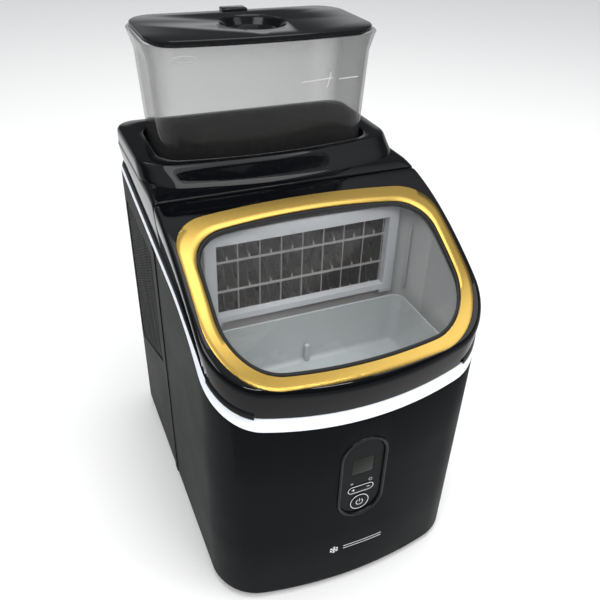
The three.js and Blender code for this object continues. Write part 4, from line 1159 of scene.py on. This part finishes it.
# Control panel: an oval bezel set into the front, a recessed plate with a small olive
# grey screen, a rocking key for the ice size and a round power button below it.
panel_grey = finish_of("panel_bezel_grey", (0.0036, 0.0042, 0.0050), 0.24, grain=0.00002, gloss_level=0.2)
panel_black = finish_of("panel_plate_black", (0.0028, 0.0032, 0.0040), 0.3, gloss_level=0.08)
screen_glass = finish_of("olive_screen", (0.012, 0.0155, 0.011), 0.24, drift=0.06, gloss_level=0.1)
print_white = finish_of("printed_white_marks", (0.86, 0.88, 0.90), 0.5, drift=0.01)
BEZEL_FACE, BEZEL_BACK = bezel_low.y, bezel_high.y


def bezel_ring(y, inset):
    return stadium(PANEL_HALF - inset, PANEL_TALL - inset, PANEL_Z, y, 24)


bezel = show("panel_bezel_ring", pull_through([
    bezel_ring(BEZEL_BACK, 0.0),
    *[bezel_ring(BEZEL_FACE + back, inset) for back, inset in (
        (1.3, 0.0), (0.5, 0.25), (0.1, 0.8), (0, 1.4), (0.15, 2.0), (0.9, 2.7), (2.6, 3.0))],
    bezel_ring(BEZEL_BACK, 3.0),
], joined=True), panel_grey, crease=50)
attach(bezel, "housing")
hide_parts("panel_bezel")

plate_low, plate_high = box_of("panel_plate")
screen_low, screen_high = box_of("display_window")
key_low, key_high = box_of("select_key")
button_low, button_high = box_of("power_button")
KEY_Z, BUTTON_Z = centre_of("select_key")[1], centre_of("power_button")[1]
BUTTON_RADIUS = button_high.x


def lying_stadium(half_long, half_tall, z, y, steps=18):
    """The same outline lying on its side."""
    return [(pz, y, z + px) for px, _, pz in stadium(half_tall, half_long, 0.0, y, steps)]


plate_solid = slab(bezel_ring(plate_high.y, 3.4), (0, plate_low.y - plate_high.y, 0))
plate = show("panel_face_plate", plate_solid, panel_black)
carve(
    plate,
    block((screen_low.x - 0.3, -170, screen_low.z - 0.3), (screen_high.x + 0.3, -150, screen_high.z + 0.3)),
    slab(lying_stadium(key_high.x + 0.4, key_high.z - KEY_Z + 0.4, KEY_Z, -170), (0, 20, 0)),
    drum(BUTTON_RADIUS + 0.4, -170, -150, (0, BUTTON_Z)),
)
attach(plate, "housing")
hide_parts("panel_plate")

screen = show("panel_screen", block(screen_low, screen_high, 0.35, 2), screen_glass)
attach(screen, "housing")
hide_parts("display_window")

key_body = slab(lying_stadium(key_high.x, key_high.z - KEY_Z, KEY_Z, key_high.y), (0, key_low.y - key_high.y, 0))
soften(key_body, 0.4, 2, angle=60)
key = show("size_key", key_body, panel_black)
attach(key, "select_key")
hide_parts("select_key")
button_body = drum(BUTTON_RADIUS, button_low.y, button_high.y, (0, BUTTON_Z), sides=48, chamfer=0.5)
button = show("power_key", button_body, panel_black)
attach(button, "power_button")
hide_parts("power_button")

KEY_FACE, BUTTON_FACE, PLATE_FACE = key_low.y, button_low.y, plate_low.y


def arc_points(z, radius, start, end, steps):
    """An arc on the power button's face, from one angle to another in degrees."""
    turns = [math.radians(start + (end - start) * i / steps) for i in range(steps + 1)]
    return [(radius * math.cos(a), BUTTON_FACE, z + radius * math.sin(a)) for a in turns]


key_marks = raised_lines("size_key_marks", [
    (lying_stadium(key_high.x - 1.0, key_high.z - KEY_Z - 1.0, KEY_Z, KEY_FACE), True),
    ([(-8.6, KEY_FACE, KEY_Z), (-5.6, KEY_FACE, KEY_Z)], False),
    ([(-7.1, KEY_FACE, KEY_Z - 1.5), (-7.1, KEY_FACE, KEY_Z + 1.5)], False),
    ([(5.6, KEY_FACE, KEY_Z), (8.6, KEY_FACE, KEY_Z)], False),
], 0.55, print_white)
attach(key_marks, "select_key")
power_marks = raised_lines("power_key_marks", [
    (arc_points(BUTTON_Z, BUTTON_RADIUS - 0.9, 0, 352.8, 48), True),
    (arc_points(BUTTON_Z - 0.3, 3.2, 122, 418, 20), False),
    ([(0, BUTTON_FACE, BUTTON_Z + 0.4), (0, BUTTON_FACE, BUTTON_Z + 3.9)], False),
], 0.6, print_white)
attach(power_marks, "power_button")
MARK_Z = KEY_Z + 7.9
size_marks = raised_lines("ice_size_marks", [
    ([(x + w * across, PLATE_FACE, MARK_Z + w * rise) for across, rise in ((-1, -1), (1, -1), (1, 1), (-1, 1))], True)
    for x, w in ((-8.8, 0.8), (8.8, 1.3))
], 0.35, print_white)
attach(size_marks, "housing")

# Mark on the front, low down: a small snowflake and two thin lines in white, which lie on
# the bowed face of the shell. They are printed, so they stand out by a hair only.
def front_of_body(x, z):
    half = BODY["half"] - BODY["front_radius"]
    arc = (half * half + FRONT_BOW * FRONT_BOW) / (2 * FRONT_BOW)
    return shell_low.y + arc - math.sqrt(arc * arc - (x / (1 + WIDENING * z)) ** 2)


FLAKE_X, FLAKE_Z, ARM = -21.0, 49.0, 4.4
strokes = []
for i in range(6):
    turn = math.radians(30 + 60 * i)
    along, across = Vector((math.cos(turn), math.sin(turn))), Vector((-math.sin(turn), math.cos(turn)))
    strokes.append([(0, 0), along * ARM])
    for side in (-1, 1):
        strokes.append([along * ARM * 0.55, along * ARM * 0.82 + across * side * 1.25])
paths = [
    ([(FLAKE_X + x, front_of_body(FLAKE_X + x, FLAKE_Z), FLAKE_Z + z) for x, z in stroke], False)
    for stroke in strokes]
for line_z in (50.6, 47.4):
    paths.append(([(x, front_of_body(x, line_z), line_z) for x in range(-12, 30, 3)], False))
front_mark = raised_lines("front_snowflake_mark", paths, 0.7, print_white, -0.03, flat=0.3)
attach(front_mark, "housing")

# Base tray and feet: a shallow black tray inside the shells carries the machinery and
# stands on four turned rubber feet.
tray_low, tray_high = box_of("base_tray")
tray_black = finish_of("base_tray_black", (0.007, 0.0075, 0.008), 0.6, grain=0.00004, grain_size=0.0008)
TRAY_INSET = BODY["rear"] - tray_high.y
tray = show("base_tray_pan", pull_through([
    at_height(body_outline(TRAY_INSET + inset), height) for inset, height in (
        (2.65, tray_low.z + 3.2), (2.65, tray_high.z - 0.3), (2.35, tray_high.z), (0.3, tray_high.z),
        (0, tray_high.z - 0.3), (0, tray_low.z + 1.0), (1.0, tray_low.z))
], capped=True), tray_black)
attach(tray, "housing")
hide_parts("base_tray")

for name in ("foot_front_left", "foot_front_right", "foot_rear_left", "foot_rear_right"):
    foot_low, foot_high = box_of(name)
    centre = ((foot_low.x + foot_high.x) / 2, (foot_low.y + foot_high.y) / 2)
    height = foot_high.z
    foot = show(name + "_pad", turned([
        (0, 0.4), (5.6, 0.4), (6.4, 0.0), (8.4, 0.0), (9.2, 0.3), (10.2, 1.4), (10.4, 2.2), (10.4, 4.0), (10.0, 4.7),
        (8.2, height - 0.1), (0, height - 0.1)], centre, 32), rubber)
    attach(foot, "housing")
    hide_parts(name)

# Back: a mains inlet with a moulded flange and three blades, a rubber drain cap with a
# grip bar, and two countersunk screws that hold the rear cover.
inlet_black = finish_of("inlet_black_plastic", (0.012, 0.012, 0.013), 0.45)
INLET_X, INLET_Z = centre_of("power_inlet")
socket = block((INLET_X - 14, inlet_low.y, INLET_Z - 11), (INLET_X + 14, inlet_high.y - 1.5, INLET_Z + 11), 1.0)
inlet = show("mains_inlet_body", socket, inlet_black)
flange = block((inlet_low.x, inlet_high.y - 3.3, inlet_low.z), inlet_high, 1.1, 3)
half_x, half_z, corner, mouth_y = 11.0, 7.5, 3.0, 152
mouth = [(INLET_X + x, mouth_y, INLET_Z + z) for x, z in (
    (-half_x, -half_z), (half_x, -half_z), (half_x, half_z - corner), (half_x - corner, half_z),
    (-half_x + corner, half_z), (-half_x, half_z - corner))]
carve(inlet, slab(mouth, (0, 30, 0)), added=[flange])
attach(inlet, "housing")
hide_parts("power_inlet")
brass_blade = finish_of("brass_blades", (0.72, 0.53, 0.23), 0.3, metallic=1.0, drift=0.04)
for i, (x, z) in enumerate(((-5.0, -1.0), (0.0, 1.0), (5.0, -1.0))):
    x, z = INLET_X + x, INLET_Z + z
    blade = show(f"mains_blade_{i}", block((x - 1.0, 150.5, z - 2.4), (x + 1.0, 163, z + 2.4), 0.3), brass_blade)
    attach(blade, "housing")

cap_disc = drum(plug_high.x - PLUG[0], plug_high.y - 4.5, plug_high.y - 1.4, PLUG, sides=48, chamfer=0.6)
cap = show("drain_cap", cap_disc, rubber)
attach(cap, "drain_plug")
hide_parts("drain_plug")
neck = show("drain_cap_neck", drum(9.0, plug_low.y, plug_high.y - 4.3, PLUG, sides=40, chamfer=0.5), rubber)
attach(neck, "drain_plug")
grip_bar = block(
    (PLUG[0] - 8.5, plug_high.y - 2.2, PLUG[1] - 1.6), (PLUG[0] + 8.5, plug_high.y, PLUG[1] + 1.6), 0.7, 3)
grip = show("drain_cap_grip", grip_bar, rubber)
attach(grip, "drain_plug")

for name, spot in SCREWS.items():
    head_low, head_high = box_of(name)
    head = show(name + "_head", drum(3.6, head_high.y - 1.7, head_high.y, spot, sides=32, chamfer=0.4), steel)
    carve(
        head,
        block((spot[0] - 2.2, head_high.y - 1.0, spot[1] - 0.45), (spot[0] + 2.2, head_high.y + 2, spot[1] + 0.45)),
        block((spot[0] - 0.45, head_high.y - 1.0, spot[1] - 2.2), (spot[0] + 0.45, head_high.y + 2, spot[1] + 2.2)),
    )
    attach(head, "housing")
    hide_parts(name)
    shank = show(name + "_shank", drum(1.6, head_low.y, head_high.y - 1.5, spot, sides=20), steel)
    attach(shank, "housing")

# Hinge and machinery: the steel pins, the brackets and the parts round and behind the divider
# are plain turned, bent and moulded parts, each in its own metal or plastic.
satin_black_plastic = finish_of("satin_black_plastic", (0.016, 0.017, 0.019), 0.45, grain=0.00003, grain_size=0.0007)
zinc = finish_of("zinc_plated_sheet", (0.50, 0.52, 0.53), 0.36, metallic=1.0, drift=0.12, uneven=0.08, patch=0.015)
copper = finish_of("copper_pipe", (0.80, 0.42, 0.25), 0.30, metallic=1.0, drift=0.10, uneven=0.06, patch=0.01)
black_enamel = finish_of("black_enamel_can", (0.010, 0.010, 0.011), 0.30, grain=0.00005, grain_size=0.002)
motor_grey = finish_of("motor_grey_paint", (0.11, 0.12, 0.13), 0.45)
board_green = finish_of("green_board_lacquer", (0.02, 0.10, 0.045), 0.35, drift=0.15, patch=0.004)
hose_milk = finish_of("milky_hose", (0.55, 0.56, 0.56), 0.35, drift=0.04)
finish_nodes(steel, "left_hinge_pin", "right_hinge_pin")
finish_nodes(
    satin_black_plastic, "left_hinge_bracket", "right_hinge_bracket", "circulation_pump", "water_level_probe",
    "fan_shroud", "fan_blade")
finish_nodes(zinc, "condenser", "divider_panel")
finish_nodes(copper, "evaporator_tube", "filter_drier", "suction_line")
finish_nodes(black_enamel, "compressor")
finish_nodes(rubber, "compressor_mount_left", "compressor_mount_right", "compressor_mount_rear")
finish_nodes(motor_grey, "fan_motor")
finish_nodes(board_green, "control_board")
finish_nodes(hose_milk, "pump_hose", "drain_hose")
finish_nodes(white_plastic, "water_distributor")
finish_nodes(liner_grey, "water_sump")
